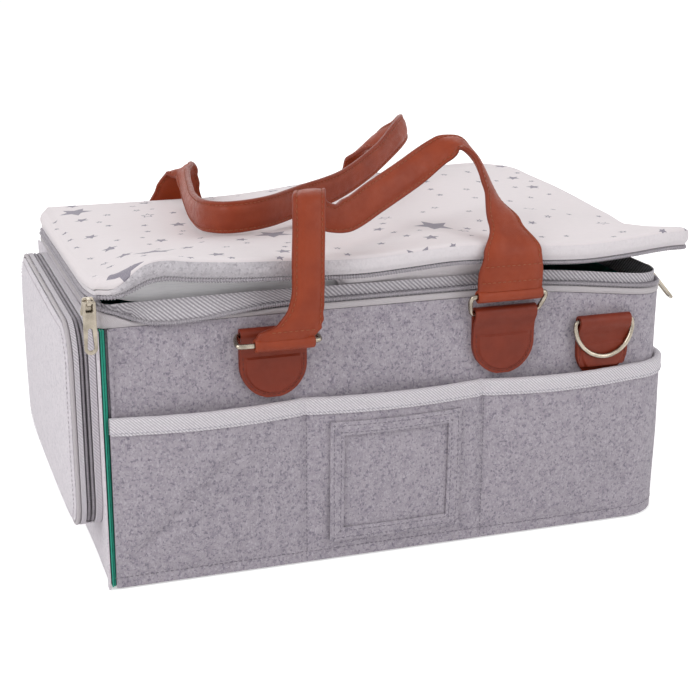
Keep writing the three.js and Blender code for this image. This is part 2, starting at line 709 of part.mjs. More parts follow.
// Half of a shoulder ring: a straight bar on top and a half round hanging from it.
const shoulderRingHalf = [
  [10, 0], [shoulderRingRadius - 3, 0], [shoulderRingRadius - 0.6, -1],
  ...[-8, -25, -42, -60, -76].map((angle) => [
    shoulderRingRadius * Math.cos(rad(angle)), -shoulderRingDrop + shoulderRingRadius * Math.sin(rad(angle)),
  ]),
  [1.5, -shoulderRingDrop - shoulderRingRadius],
];

function makeHardware() {
  for (const [side, rear] of [['front', false], ['rear', true]]) {
    for (const [end, x] of [['left', handleLeftX], ['right', handleRightX]]) {
      const tilt = side === 'front' && end === 'left' ? leftRingTilt : handleRingTilt;
      makeTab(`${side}_${end}_tab`, x, rear, handleTabWidth, tabPivotHeight, tabBottom);
      makeRing(`${side}_${end}_ring`, x, rear, handleRingHalf, tabPivotHeight, tilt);
    }
    const x = rear ? rearShoulderX : shoulderX;
    makeTab(`${side}_shoulder_tab`, x, rear, shoulderTabWidth, shoulderPivotHeight, shoulderTabBottom);
    makeRing(`${side}_shoulder_ring`, x, rear, shoulderRingHalf, shoulderPivotHeight, -shoulderRingTilt);
  }
}

// Centre of a handle ring's top bar, where the handle's end is folded round it.
function ringTop(x, rear, tilt) {
  const out = pivotOut + handleRingReach * Math.sin(rad(tilt));
  return v3(x, (rear ? 1 : -1) * (halfDepth + out), tabPivotHeight + handleRingReach * Math.cos(rad(tilt)));
}

// A leather strap through stations of [centre, width direction, width, thickness].
// Its sections stay level at the folded ends and are square to its path in between.
function strap(stations, steps) {
  const path = new THREE.CatmullRomCurve3(stations.map(([p]) => p), false, 'centripetal');
  const rings = [];
  for (let i = 0; i <= steps; i++) {
    const u = i / steps;
    const at = u * (stations.length - 1);
    const k = Math.min(Math.floor(at), stations.length - 2);
    const [, acrossA, widthA, thickA] = stations[k];
    const [, acrossB, widthB, thickB] = stations[k + 1];
    const share = smooth(at - k, 0, 1);
    const tangent = path.getTangent(u);
    const square = smooth(Math.min(at, stations.length - 1 - at), 2, 4);
    const across = acrossA.clone().lerp(acrossB, share);
    across.addScaledVector(tangent, -square * across.dot(tangent)).normalize();
    const normal = tangent.clone().cross(across).normalize();
    const w = THREE.MathUtils.lerp(widthA, widthB, share) / 2;
    const t = THREE.MathUtils.lerp(thickA, thickB, share) / 2;
    const corner = 0.6 * t;
    const section = [[w, -t + corner], [w, t - corner], [w - corner, t], [corner - w, t],
      [-w, t - corner], [-w, corner - t], [corner - w, -t], [w - corner, -t]];
    rings.push(section.map(([a, n]) => path.getPoint(u).addScaledVector(across, a).addScaledVector(normal, n)));
  }
  return loft(rings, [v2(3, -1), v2(3, 1), v2(2, 2), v2(-2, 2), v2(-3, 1), v2(-3, -1), v2(-2, -2), v2(2, -2)]);
}

// The fold round a ring's top bar: a pipe along X.
function foldAt(centre, width) {
  const pipe = prismAcross(arc([0, 0], loopRadius, 360, 0, 12).slice(1), width, [[loopHole, 0, 0]]);
  return pipe.translate(centre.x, centre.y, centre.z);
}

const alongX = v3(1, 0, 0);
const upright = v3(0, 0, 1);

// The handles' stations were laid out for tabs at -86 and 66 that turn at 154, on a bag 128 to each side
// with its lid's hinge at 190, and for a strap 21 wide; they keep their place beside those.
function station(x, y, z) {
  const low = THREE.MathUtils.mapLinear(z, 154, 190, tabPivotHeight, lidHingeHeight);
  const high = lidHingeHeight + ((z - 190) * strapWidth) / 21;
  return v3(THREE.MathUtils.mapLinear(x, -86, 66, handleLeftX, handleRightX), depthwise(y), z < 190 ? low : high);
}

// A place beside a folded end, laid out for a ring that reaches 14.
const beside = (end, x, y, z) => end.clone().add(v3(x, y, z).multiplyScalar(handleRingReach / 14));

function makeFrontHandle() {
  const left = ringTop(handleLeftX + leftFoldShift, false, leftRingTilt);
  const right = ringTop(handleRightX, false, handleRingTilt);
  const w = strapWidth;
  const t = strapThickness;
  const wide = handleEndWidth;
  const lip = loopRadius - 0.7;
  const body = strap([
    [left.clone().add(v3(0, -0.8, lip)), alongX, leftFoldWidth, t],
    [beside(left, 2, -1.8, 7.5), alongX, wide - 2, t],
    [beside(left, 7, -2.5, 12), alongX, wide - 2, t],
    [station(-71.5, -149, 171), alongX, w + 9, t],
    [station(-69, -149, 182), alongX, w + 2, t + 1],
    [station(-68.5, -148, 200), alongX, w, t + 2],
    [station(-67.5, -146.5, 220), alongX, w, t + 1],
    [station(-66, -142, 235), alongX, w, t],
    [station(-62, -133, 237.5), alongX, w - 3, t],
    [station(-57, -126, 227), v3(1, 0, 0.5), w - 5, t],
    [station(-46, -120, 219), v3(0.8, 0, 1), w - 3, t],
    [station(-32, -114, 219), v3(-0.1, 0.2, 1), w, t],
    [station(-10, -100, 226), v3(-0.3, 0.3, 1), w, t],
    [station(19, -87, 238), v3(-0.4, 0.3, 1), w, t + 1],
    [station(42, -80, 250), v3(-0.5, 0.4, 1), w - 2, t + 1],
    [station(54, -79, 253.5), v3(0.1, 0.9, 1), w - 2, t + 1],
    [station(63, -86, 245), v3(0.5, 1, 0.5), w - 3, t + 1],
    [station(67, -103, 226), v3(0.9, 0.8, 0), w - 3, t + 1],
    [station(67.5, -125.5, 209.5), v3(1, 0.3, 0), w + 6, t],
    [station(67, -139.5, 194), alongX, wide - 4, t],
    [beside(right, 0, -1.2, 13), alongX, wide, t],
    [right.clone().add(v3(0, -0.6, lip)), alongX, wide, t],
  ], 46);
  add('front_handle', join(body, foldAt(left, leftFoldWidth), foldAt(right, wide)), leather);
}

function makeRearHandle() {
  const left = ringTop(handleLeftX, true, handleRingTilt);
  const right = ringTop(handleRightX, true, handleRingTilt);
  const w = strapWidth;
  const t = strapThickness;
  const wide = handleEndWidth;
  const lip = loopRadius - 0.7;
  const body = strap([
    [left.clone().add(v3(0, 0.6, lip)), alongX, wide, t],
    [beside(left, 0, 1, 14), alongX, wide, t],
    [station(-84, 137, 196), v3(1, 0, 0), wide - 10, t],
    [station(-82, 130, 208), v3(1, 0, 0), w + 4, t],
    [station(-83, 117, 212), v3(0.8, 0, 0.8), w - 4, t],
    [station(-88, 92, 208), v3(0.2, 0, 1), w - 1, t + 1],
    [station(-95, 50, 205.5), v3(0.1, 0, 1), w, t + 1],
    [station(-101, 5, 205), upright, w, t + 1],
    [station(-101, -30, 206.6), upright, w, t + 1],
    [station(-90, -46, 208), upright, w, t + 1],
    [station(-66, -40, 208.4), upright, w, t],
    [station(-34, -14, 209.5), upright, w, t],
    [station(6, 14, 214), v3(0, -0.2, 1), w, t],
    [station(42, 40, 227), v3(-0.2, -0.3, 1), w, t],
    [station(66, 61, 240), v3(-0.4, -0.2, 1), w, t],
    [station(76, 78, 243), v3(-0.2, 0.2, 1), w - 3, t],
    [station(73, 98, 235), v3(0.3, 0.6, 0.9), w - 3, t],
    [station(64, 122, 224), v3(0.8, 0.4, 0.5), w, t],
    [station(62, 138, 208), v3(1, 0.2, 0), w + 6, t],
    [beside(right, -1, 1.2, 16), alongX, wide - 3, t],
    [right.clone().add(v3(0, 0.6, lip)), alongX, wide, t],
  ], 50);
  add('rear_handle', join(body, foldAt(left, wide), foldAt(right, wide)), leather);
}

// Zip slider: an outer plate with a lug, drawn facing -Y with its pull's bar along X at height 0.
const plateBack = lugStandOut + sliderThickness / 2;

function sliderBody() {
  const w = sliderWidth / 2;
  const h = sliderHeight / 2;
  const outline = new THREE.Shape([v2(-w + 1, -h), v2(w - 1, -h), v2(w, -h + 3), v2(w - 1.4, h), v2(-w + 1.4, h), v2(-w, -h + 3)]);
  const plate = new THREE.ExtrudeGeometry(outline, { depth: sliderThickness, bevelEnabled: false });
  plate.rotateX(Math.PI / 2).translate(0, plateBack, -plateDrop);
  const half = 1.2;
  const back = plateBack - sliderThickness;
  const lug = box(-half, half, -2.4, back + 0.1, -2.4, 2.4);
  const bore = new THREE.CylinderGeometry(1.4, 1.4, 6, 10).rotateZ(Math.PI / 2);
  return cut(join(plate, lug), bore);
}

// Pull: a bar at the top that turns in the lug, a long slot and a round eye near its end.
function pullBody(length) {
  const w = pullWidth / 2;
  const bar = 0.8;
  const outline = new THREE.Shape();
  outline.moveTo(-w, bar);
  outline.lineTo(-w, w - length);
  outline.absarc(0, w - length, w, Math.PI, 2 * Math.PI, false);
  outline.lineTo(w, bar);
  outline.closePath();
  const window = (half, top, bottom) => new THREE.Path([v2(-half, top), v2(half, top), v2(half, bottom), v2(-half, bottom)]);
  outline.holes.push(window(2.1, -bar, -5.6));
  outline.holes.push(window(1.8, -8.6, 14.4 - length));
  outline.holes.push(new THREE.Path().absarc(0, w - length + 1, 2.1, 0, 2 * Math.PI, true));
  const geometry = new THREE.ExtrudeGeometry(outline, { depth: pullThickness, bevelEnabled: false, curveSegments: 6 });
  return geometry.translate(0, 0, -pullThickness / 2).rotateX(Math.PI / 2);
}

// Places a slider and its pull: turn about Z to its face, then move the pull's bar to its place.
function makeSlider(name, turn, place, pullAngle, length) {
  const slider = sliderBody().rotateZ(turn).translate(place.x, place.y, place.z);
  const pull = pullBody(length).rotateX(-pullAngle).rotateZ(turn).translate(place.x, place.y, place.z);
  add(`${name}_slider`, slider, nickel);
  add(`${name}_pull`, pull, nickel);
}

function makeSliders() {
  const reach = coilRadius + 2 * clearance + plateBack + coilOut;
  const leftHeight = coilHeight + cornerLift + plateDrop + 1;
  makeSlider('left', 0, v3(leftSliderX, -halfDepth - reach, leftHeight), 0, pullLength);
  const rightHeight = coilHeight + 1 - sagAt(endStart + halfDepth - cornerRadius + rightSliderY);
  makeSlider('right', Math.PI / 2, v3(halfLength + reach, rightSliderY, rightHeight), rad(rightPullAngle), pullLength);
}

// End pocket: outlines in (y, z) on the left end, drawn outwards along -X.
const endHalf = endPocketWidth / 2;
const endMiddle = (endPocketBottom + endPocketTop) / 2;
const endHalfHeight = (endPocketTop - endPocketBottom) / 2;

function endLoop(inset, out, cornerPoints = 5) {
  const r = endPocketRadius - inset;
  const across = endHalf - inset - r;
  const up = endHalfHeight - inset - r;
  const loop = [];
  for (const [sy, sz, from] of [[1, -1, -90], [1, 1, 0], [-1, 1, 90], [-1, -1, 180]]) {
    for (const [y, z] of arc([sy * across, endMiddle + sz * up], r, from, from + 90, cornerPoints)) {
      loop.push(v3(-halfLength - out, y, z));
    }
  }
  return loop;
}

// A closed band round the pocket from one distance out to another.
function endBand(inset, thickness, from, to) {
  const outer = endLoop(inset, 0);
  const inner = endLoop(inset + thickness, 0).toReversed();
  const shape = new THREE.Shape(outer.map((p) => v2(p.y, p.z)));
  shape.holes.push(new THREE.Path(inner.map((p) => v2(p.y, p.z))));
  return endPlate(shape, from, to);
}

function endPlate(shape, from, to) {
  const geometry = new THREE.ExtrudeGeometry(shape, { depth: to - from, bevelEnabled: false });
  const toEnd = new THREE.Matrix4().makeBasis(v3(0, 1, 0), v3(0, 0, 1), v3(1, 0, 0));
  return geometry.applyMatrix4(toEnd).translate(-halfLength - to, 0, 0);
}

// The zip runs up one side, over the top and down the other, from endZipBottom to endZipBottom.
function endCoil(out) {
  const loop = endLoop(endCoilRadius + 0.2, out).filter((p) => p.z > endMiddle);
  const side = endHalf - endCoilRadius - 0.2;
  const points = [v3(-halfLength - out, side, endZipBottom), ...loop, v3(-halfLength - out, -side, endZipBottom)];
  const rings = points.map((p, i) => {
    const before = points[Math.max(i - 1, 0)];
    const after = points[Math.min(i + 1, points.length - 1)];
    const tangent = after.clone().sub(before).normalize();
    const normal = tangent.clone().cross(alongX);
    return hexagon(endCoilRadius, 0, 0).map(([a, b]) => p.clone().addScaledVector(normal, a).add(v3(b, 0, 0)));
  });
  return loft(rings, hexagon(endCoilRadius, 0, 0).map(([a, b]) => v2(a, b)));
}

function makeEndPocket() {
  const innerTo = clearance + innerGussetDepth;
  const innerRow = innerTo + clearance + endCoilRadius;
  const outerRow = innerRow + 2 * endCoilRadius + clearance;
  const flapFrom = outerRow + endCoilRadius + clearance;
  const flapTo = flapFrom + outerGussetDepth;
  add('end_gusset', endBand(0, gussetThickness, clearance, innerTo), twill);
  add('end_inner_coil', endCoil(innerRow), coil);
  add('end_outer_coil', endCoil(outerRow), coil);
  add('end_flap_band', endBand(0, gussetThickness, flapFrom, flapTo), twill);
  const faceFrom = flapTo + clearance;
  const outerEdge = endLoop(2 * pipingRadius + clearance, faceFrom + feltThickness);
  const innerEdge = endLoop(2 * pipingRadius + clearance, faceFrom);
  const crown = (edge, share, rise) => edge.map((p) => {
    const y = THREE.MathUtils.lerp(p.y, THREE.MathUtils.clamp(p.y, -40, 40), share);
    return v3(p.x - rise, y, THREE.MathUtils.lerp(p.z, endMiddle, share));
  });
  const steps = [[0.25, 0.75], [0.6, 0.97]];
  add('end_pocket_face', loftToPoles(
    [
      ...steps.map(([share, rise]) => crown(outerEdge, share, rise * facePuff)).toReversed(), outerEdge,
      innerEdge, ...steps.map(([share, rise]) => crown(innerEdge, share, rise * facePuff)),
    ],
    v3(outerEdge[0].x - facePuff, 0, endMiddle),
    v3(innerEdge[0].x - facePuff, 0, endMiddle),
  ), paleFelt);
  const pipe = endLoop(pipingRadius, faceFrom + pipingRadius);
  const rings = pipe.map((p, i) => {
    const tangent = pipe[(i + 1) % pipe.length].clone().sub(pipe.at(i - 1)).normalize();
    const normal = tangent.cross(alongX);
    return hexagon(pipingRadius, 0, 0).map(([a, b]) => p.clone().addScaledVector(normal, a).add(v3(b, 0, 0)));
  });
  add('end_piping', closedLoft(rings), twill);
  const strip = endHalf - endPocketRadius;
  const low = endPocketBottom - clearance;
  add('end_hinge_strip', box(-halfLength - flapFrom + clearance, -halfLength - clearance, -strip, strip, low - 1.2, low), twill);
  const reach = clearance * 2 + plateBack;
  const pivot = v3(-halfLength - (innerRow + outerRow) / 2, endHalf + reach, endSliderHeight);
  makeSlider('end', Math.PI, pivot, 0, endPullLength);
}

// A closed ring-shaped skin: the last ring joins the first.
function closedLoft(rings) {
  const count = rings[0].length;
  const faces = [];
  for (let i = 0; i < rings.length; i++) {
    for (let j = 0; j < count; j++) {
      const a = i * count + j;
      const b = i * count + ((j + 1) % count);
      const up = ((i + 1) % rings.length) * count;
      faces.push(a, b, up + ((j + 1) % count), a, up + ((j + 1) % count), up + j);
    }
  }
  return outwards(rings.flat().flatMap((p) => [p.x, p.y, p.z]), faces);
}

bag.name = 'felt_caddy_tote';
makeWalls();
makeBase();
makePockets();
makeLabelFrame();
makeRim();
makeLid();
makeFacing();
makeBackSkirt();
makeHardware();
makeFrontHandle();
makeRearHandle();
makeSliders();
makeEndPocket();

export default bag;
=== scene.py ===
import math

import bpy
import bmesh
import numpy as np
from mathutils import Matrix, Vector, noise
from mathutils.bvhtree import BVHTree


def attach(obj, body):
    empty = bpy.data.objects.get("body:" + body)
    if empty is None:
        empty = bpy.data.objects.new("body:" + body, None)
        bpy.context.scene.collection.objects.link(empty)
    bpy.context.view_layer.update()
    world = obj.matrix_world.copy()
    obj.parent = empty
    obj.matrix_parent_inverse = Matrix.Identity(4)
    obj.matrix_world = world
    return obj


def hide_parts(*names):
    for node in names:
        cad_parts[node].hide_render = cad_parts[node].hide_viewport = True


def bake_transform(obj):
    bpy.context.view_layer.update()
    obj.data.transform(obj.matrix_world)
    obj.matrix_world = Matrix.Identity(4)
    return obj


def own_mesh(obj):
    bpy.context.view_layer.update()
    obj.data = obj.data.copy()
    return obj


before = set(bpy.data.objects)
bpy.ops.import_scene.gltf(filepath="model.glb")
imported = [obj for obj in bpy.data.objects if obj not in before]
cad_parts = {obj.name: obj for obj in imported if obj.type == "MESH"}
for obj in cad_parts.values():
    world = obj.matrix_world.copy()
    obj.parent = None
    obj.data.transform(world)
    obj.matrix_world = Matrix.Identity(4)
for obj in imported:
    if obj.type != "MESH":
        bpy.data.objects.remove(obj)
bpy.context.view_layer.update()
mm = 0.001  # shapes are worked out in millimetres and become metres in their meshes


def place(name, data):  # a new object at the origin
    made = bpy.data.objects.new(name, data)
    bpy.context.scene.collection.objects.link(made)
    return made


cameraSetup = {
    "azimuth": 18.8, "elevation": 16.6, "distance": 1.0373, "height": 0.1027,
    "right": 0.00729, "up": -0.00503, "lens": 75.04,
}


def makeCamera(values):
    az, el = math.radians(values["azimuth"]), math.radians(values["elevation"])
    look = Vector((math.sin(az) * math.cos(el), math.cos(az) * math.cos(el), -math.sin(el)))
    right = look.cross(Vector((0, 0, 1))).normalized()
    up = right.cross(look)
    data = bpy.data.cameras.new("studioCamera")
    data.lens, data.sensor_width = values["lens"], 36
    data.clip_start, data.clip_end = 0.01, 50
    camera = place("studioCamera", data)
    spot = Vector((0, 0, values["height"])) - look * values["distance"]
    spot += right * values["right"] + up * values["up"]
    turn = Matrix((right, up, -look)).transposed().to_4x4()
    camera.matrix_world = Matrix.Translation(spot) @ turn
    bpy.context.scene.camera = camera


# Small helpers for node trees
def put(tree, kind, links=None, **settings):
    made = tree.nodes.new(kind)
    for key, value in settings.items():
        setattr(made, key, value)
    for key, value in (links or {}).items():
        if isinstance(value, bpy.types.NodeSocket):
            tree.links.new(value, made.inputs[key])
        else:
            made.inputs[key].default_value = value
    return made


def sums(tree, operation, *values):
    return put(tree, "ShaderNodeMath", dict(enumerate(values)), operation=operation).outputs[0]


def ramp(tree, value, low, high, toLow=0.0, toHigh=1.0):
    links = {0: value, 1: low, 2: high, 3: toLow, 4: toHigh}
    return put(tree, "ShaderNodeMapRange", links, interpolation_type="SMOOTHSTEP").outputs[0]


def tint(tree, share, first, second, blend="MIX"):
    links = {0: share, 6: first, 7: second}
    return put(tree, "ShaderNodeMix", links, data_type="RGBA", blend_type=blend).outputs[2]


def grain(tree, vector, scale, detail=3.0, rough=0.55):
    links = {"Vector": vector, "Scale": scale, "Detail": detail, "Roughness": rough}
    return put(tree, "ShaderNodeTexNoise", links).outputs[0]


def newGroup(name, given, made):
    tree = bpy.data.node_groups.new(name, "ShaderNodeTree")
    kinds = {"v": "NodeSocketVector", "c": "NodeSocketColor", "f": "NodeSocketFloat"}
    for label, kind in given.items():
        tree.interface.new_socket(name=label, in_out="INPUT", socket_type=kinds[kind])
    for label, kind in made.items():
        tree.interface.new_socket(name=label, in_out="OUTPUT", socket_type=kinds[kind])
    return tree, tree.nodes.new("NodeGroupInput").outputs, tree.nodes.new("NodeGroupOutput").inputs


def colour(red, green, blue):  # as it looks on a screen, 0 to 255
    def linear(c):
        c /= 255
        return c / 12.92 if c <= 0.04045 else ((c + 0.055) / 1.055) ** 2.4
    return (linear(red), linear(green), linear(blue), 1.0)


def makeFeltGroup():
    tree, given, out = newGroup(
        "feltFibres", {"Vector": "v", "Base": "c", "Dark": "c", "Light": "c", "Marl": "f"},
        {"Color": "c", "Height": "f"},
    )
    cloud = ramp(tree, grain(tree, given["Vector"], 150.0, 6.0, 0.8), 0.4, 0.72, 0.0, 0.5)
    shade = tint(tree, sums(tree, "MULTIPLY", cloud, given["Marl"]), given["Base"], given["Dark"])
    height = grain(tree, given["Vector"], 900.0, 4.0, 0.7)
    fibres = (  # turn, stretch, threshold, share, tone
        ((0.3, 0.2, 0.5), (520, 340, 460), 0.54, 0.62, "Dark"),
        ((1.1, -0.4, 2.0), (360, 700, 520), 0.56, 0.62, "Dark"),
        ((-0.7, 0.9, 1.2), (800, 560, 480), 0.53, 0.5, "Light"),
    )
    for turn, stretch, threshold, share, tone in fibres:
        lay = put(tree, "ShaderNodeMapping", {0: given["Vector"], 2: turn, 3: stretch}).outputs[0]
        strand = grain(tree, lay, 1.0, 2.5, 0.6)
        mask = ramp(tree, strand, threshold, threshold + 0.12, 0.0, share)
        shade = tint(tree, sums(tree, "MULTIPLY", mask, given["Marl"]), shade, given[tone])
        height = sums(tree, "ADD", height, sums(tree, "MULTIPLY", strand, 0.5))
    tree.links.new(shade, out["Color"])
    tree.links.new(height, out["Height"])
    return tree


def makeTapeGroup():  # herringbone: diagonal ribs that turn at the tape's middle
    tree, given, out = newGroup(
        "herringbone", {"Vector": "v", "Middle": "f", "Pitch": "f"}, {"Rib": "f", "Height": "f"},
    )
    axes = put(tree, "ShaderNodeSeparateXYZ", {0: given["Vector"]}).outputs
    lean = sums(tree, "ABSOLUTE", sums(tree, "SUBTRACT", axes[1], given["Middle"]))
    run = sums(tree, "SUBTRACT", axes[0], sums(tree, "MULTIPLY", lean, 1.1))
    turns = sums(tree, "MULTIPLY", sums(tree, "DIVIDE", run, given["Pitch"]), 2 * math.pi)
    rib = sums(tree, "MULTIPLY_ADD", sums(tree, "SINE", turns), 0.5, 0.5)
    threads = sums(tree, "SINE", sums(tree, "MULTIPLY", axes[1], 2 * math.pi / 0.00045))
    height = sums(tree, "MULTIPLY_ADD", threads, 0.12, rib)
    worn = grain(tree, given["Vector"], 700.0, 3.0)
    tree.links.new(sums(tree, "MULTIPLY", rib, ramp(tree, worn, 0.3, 0.7, 0.6, 1.0)), out["Rib"])
    tree.links.new(height, out["Height"])
    return tree


def makeWeaveGroup():  # plain weave on the cloth's own lengths
    tree, given, out = newGroup("plainWeave", {"Vector": "v", "Thread": "f"}, {"Height": "f", "Slub": "f"})
    axes = put(tree, "ShaderNodeSeparateXYZ", {0: given["Vector"]}).outputs
    waves = [
        sums(tree, "SINE", sums(tree, "MULTIPLY", sums(tree, "DIVIDE", axes[i], given["Thread"]), math.pi))
        for i in (0, 1)
    ]
    tree.links.new(sums(tree, "MULTIPLY", waves[0], waves[1]), out["Height"])
    long = put(tree, "ShaderNodeMapping", {0: given["Vector"], 3: (120, 1800, 1)}).outputs[0]
    tree.links.new(grain(tree, long, 1.0, 2.0), out["Slub"])
    return tree


def makeLeatherGroup():
    tree, given, out = newGroup(
        "leatherGrain", {"Vector": "v", "Base": "c", "Deep": "c", "Edge": "f"},
        {"Color": "c", "Height": "f", "Roughness": "f"},
    )
    links = {"Vector": given["Vector"], "Scale": 1100.0}
    pores = put(tree, "ShaderNodeTexVoronoi", links, feature="DISTANCE_TO_EDGE").outputs["Distance"]
    pits = ramp(tree, pores, 0.0, 0.16)
    mottle = ramp(tree, grain(tree, given["Vector"], 60.0, 4.0), 0.35, 0.7, 0.0, 0.35)
    shade = tint(tree, mottle, given["Base"], given["Deep"])
    shade = tint(tree, sums(tree, "MULTIPLY", given["Edge"], 0.6), shade, given["Deep"])
    tree.links.new(shade, out["Color"])
    soft = grain(tree, given["Vector"], 240.0, 3.0)
    tree.links.new(sums(tree, "MULTIPLY_ADD", pits, 0.35, soft), out["Height"])
    tree.links.new(ramp(tree, soft, 0.3, 0.7, 0.36, 0.52), out["Roughness"])
    return tree


def makeStarGroup():  # one five-pointed star in some cells of a loose scatter
    tree, given, out = newGroup(
        "starScatter", {"Vector": "v", "Cell": "f", "Least": "f", "Most": "f", "Share": "f", "Open": "f"},
        {"Star": "f", "Near": "f", "Middle": "v"},
    )
    cells = put(tree, "ShaderNodeVectorMath", {0: given["Vector"]}, operation="DIVIDE")
    size = put(tree, "ShaderNodeCombineXYZ", {0: given["Cell"], 1: given["Cell"], 2: 1.0}).outputs[0]
    tree.links.new(size, cells.inputs[1])
    links = {"Vector": cells.outputs[0], "Scale": 1.0, "Randomness": 0.7}
    lot = put(tree, "ShaderNodeTexVoronoi", links, voronoi_dimensions="2D")
    offset = put(
        tree, "ShaderNodeVectorMath", {0: cells.outputs[0], 1: lot.outputs["Position"]}, operation="SUBTRACT",
    ).outputs[0]
    axes = put(tree, "ShaderNodeSeparateXYZ", {0: offset}).outputs
    draw = put(tree, "ShaderNodeSeparateColor", {0: lot.outputs["Color"]}).outputs
    far = put(tree, "ShaderNodeVectorMath", {0: offset}, operation="LENGTH").outputs["Value"]
    fifth = 2 * math.pi / 5
    turn = sums(tree, "MULTIPLY", draw[1], 19.0)
    angle = sums(tree, "ADD", sums(tree, "ARCTAN2", axes[1], axes[0]), sums(tree, "ADD", turn, 4 * math.pi))
    fold = sums(tree, "ABSOLUTE", sums(tree, "SUBTRACT", sums(tree, "MODULO", angle, fifth), fifth / 2))
    x = sums(tree, "MULTIPLY", far, sums(tree, "COSINE", fold))
    y = sums(tree, "MULTIPLY", far, sums(tree, "SINE", fold))
    span = sums(tree, "SUBTRACT", given["Most"], given["Least"])
    reach = sums(tree, "MULTIPLY_ADD", draw[0], span, given["Least"])
    reach = sums(tree, "DIVIDE", reach, given["Cell"])
    waist, outline, clearance = 0.47, 0.0007, 0.006  # inner corners' share, an open star's line, room round a star
    dx, dy = waist * math.cos(fifth / 2) - 1, waist * math.sin(fifth / 2)
    along = sums(tree, "MULTIPLY", sums(tree, "SUBTRACT", x, reach), dy)
    edge = sums(tree, "SUBTRACT", along, sums(tree, "MULTIPLY", y, dx))
    inside = sums(tree, "DIVIDE", edge, -math.hypot(dx, dy))
    filled = sums(tree, "GREATER_THAN", inside, 0.0)
    rimOnly = sums(tree, "LESS_THAN", inside, sums(tree, "DIVIDE", outline, given["Cell"]))
    drawn = sums(tree, "MAXIMUM", rimOnly, sums(tree, "GREATER_THAN", draw[1], given["Open"]))
    here = sums(tree, "LESS_THAN", draw[2], given["Share"])
    star = sums(tree, "MULTIPLY", sums(tree, "MULTIPLY", filled, drawn), here)
    tree.links.new(star, out["Star"])
    room = sums(tree, "ADD", reach, sums(tree, "DIVIDE", clearance, given["Cell"]))
    tree.links.new(sums(tree, "MULTIPLY", sums(tree, "LESS_THAN", far, room), here), out["Near"])
    middle = put(tree, "ShaderNodeVectorMath", {0: lot.outputs["Position"]}, operation="MULTIPLY")
    tree.links.new(size, middle.inputs[1])
    tree.links.new(middle.outputs[0], out["Middle"])
    return tree


groups = {
    "felt": makeFeltGroup(), "tape": makeTapeGroup(), "weave": makeWeaveGroup(),
    "leather": makeLeatherGroup(), "stars": makeStarGroup(),
}


def newFinish(name, **plain):
    material = bpy.data.materials.new(name)
    material.use_nodes = True
    tree = material.node_tree
    shader = tree.nodes["Principled BSDF"]
    for key, value in plain.items():
        shader.inputs[key.replace("_", " ")].default_value = value
    where = put(tree, "ShaderNodeTexCoord").outputs
    return material, tree, shader, where


def useGroup(tree, key, **links):
    return put(tree, "ShaderNodeGroup", links, node_tree=groups[key]).outputs


def bump(tree, shader, height, distance, strength=0.6):
    made = put(tree, "ShaderNodeBump", {"Strength": strength, "Distance": distance, "Height": height})
    tree.links.new(made.outputs[0], shader.inputs["Normal"])


feltTones = {  # base, dark fibres, light fibres, strength of the marl
    "felt": ((172, 164, 173), (108, 102, 117), (198, 191, 199), 1.0),
    # the pale tones below are the same felt drawn lighter for the bag's left end, where the light falls: painted
    # light
    "paleFelt": ((220, 213, 219), (172, 166, 176), (238, 233, 238), 0.6),
    "stripFelt": ((196, 191, 196), (142, 136, 144), (220, 215, 220), 0.8),
}


def layFelt(tree, where, key):
    *tones, marl = feltTones[key]
    base, dark, light = (colour(*tone) for tone in tones)
    return useGroup(tree, "felt", Vector=where["Object"], Base=base, Dark=dark, Light=light, Marl=marl)


def makeFelt(key):
    material, tree, shader, where = newFinish(key, Roughness=0.96, Sheen_Weight=0.25, Sheen_Roughness=0.5)
    felt = layFelt(tree, where, key)
    tree.links.new(felt["Color"], shader.inputs["Base Color"])
    bump(tree, shader, felt["Height"], 0.0007, 0.7)
    return material


def makeStripFelt():  # the lid's tape: grey in the middle of the left bay, nearly white to both sides
    material, tree, shader, where = newFinish("stripFelt", Roughness=0.96, Sheen_Weight=0.2)
    felt = layFelt(tree, where, "stripFelt")
    run = put(tree, "ShaderNodeSeparateXYZ", {0: where["Object"]}).outputs[0]
    pale = sums(tree, "MAXIMUM", ramp(tree, run, -0.187, -0.176, 1.0, 0.0), ramp(tree, run, -0.09, -0.01))
    white = sums(tree, "MULTIPLY", pale, 0.8)
    tree.links.new(tint(tree, white, felt["Color"], colour(229, 222, 225)), shader.inputs["Base Color"])
    bump(tree, shader, felt["Height"], 0.0006, 0.6)
    return material


def makeTape(name, light, dark, middle, pitch):
    material, tree, shader, where = newFinish(name, Roughness=0.85, Sheen_Weight=0.15)
    tape = useGroup(tree, "tape", Vector=where["UV"], Middle=middle, Pitch=pitch)
    tree.links.new(tint(tree, tape["Rib"], dark, light), shader.inputs["Base Color"])
    bump(tree, shader, tape["Height"], 0.0003, 0.8)
    return material


def makeCloth(name, base, shadow, rough=0.85):
    material, tree, shader, where = newFinish(name, Roughness=rough, Sheen_Weight=0.1)
    weave = useGroup(tree, "weave", Vector=where["UV"], Thread=0.0005)
    slub = ramp(tree, weave["Slub"], 0.35, 0.75, 0.0, 0.5)
    tree.links.new(tint(tree, slub, base, shadow), shader.inputs["Base Color"])
    bump(tree, shader, weave["Height"], 0.0001, 0.5)
    return material


starPrint = {
    "ground": colour(231, 223, 225), "shadow": colour(222, 214, 217), "ink": colour(140, 135, 147),
    "layers": (  # cell, least reach, most reach, share, openness
        (0.094, 0.0115, 0.0155, 0.55, 0.0),
        (0.047, 0.0042, 0.0062, 0.62, 0.3),
        (0.0235, 0.0023, 0.0034, 0.74, 0.3),
    ),
}


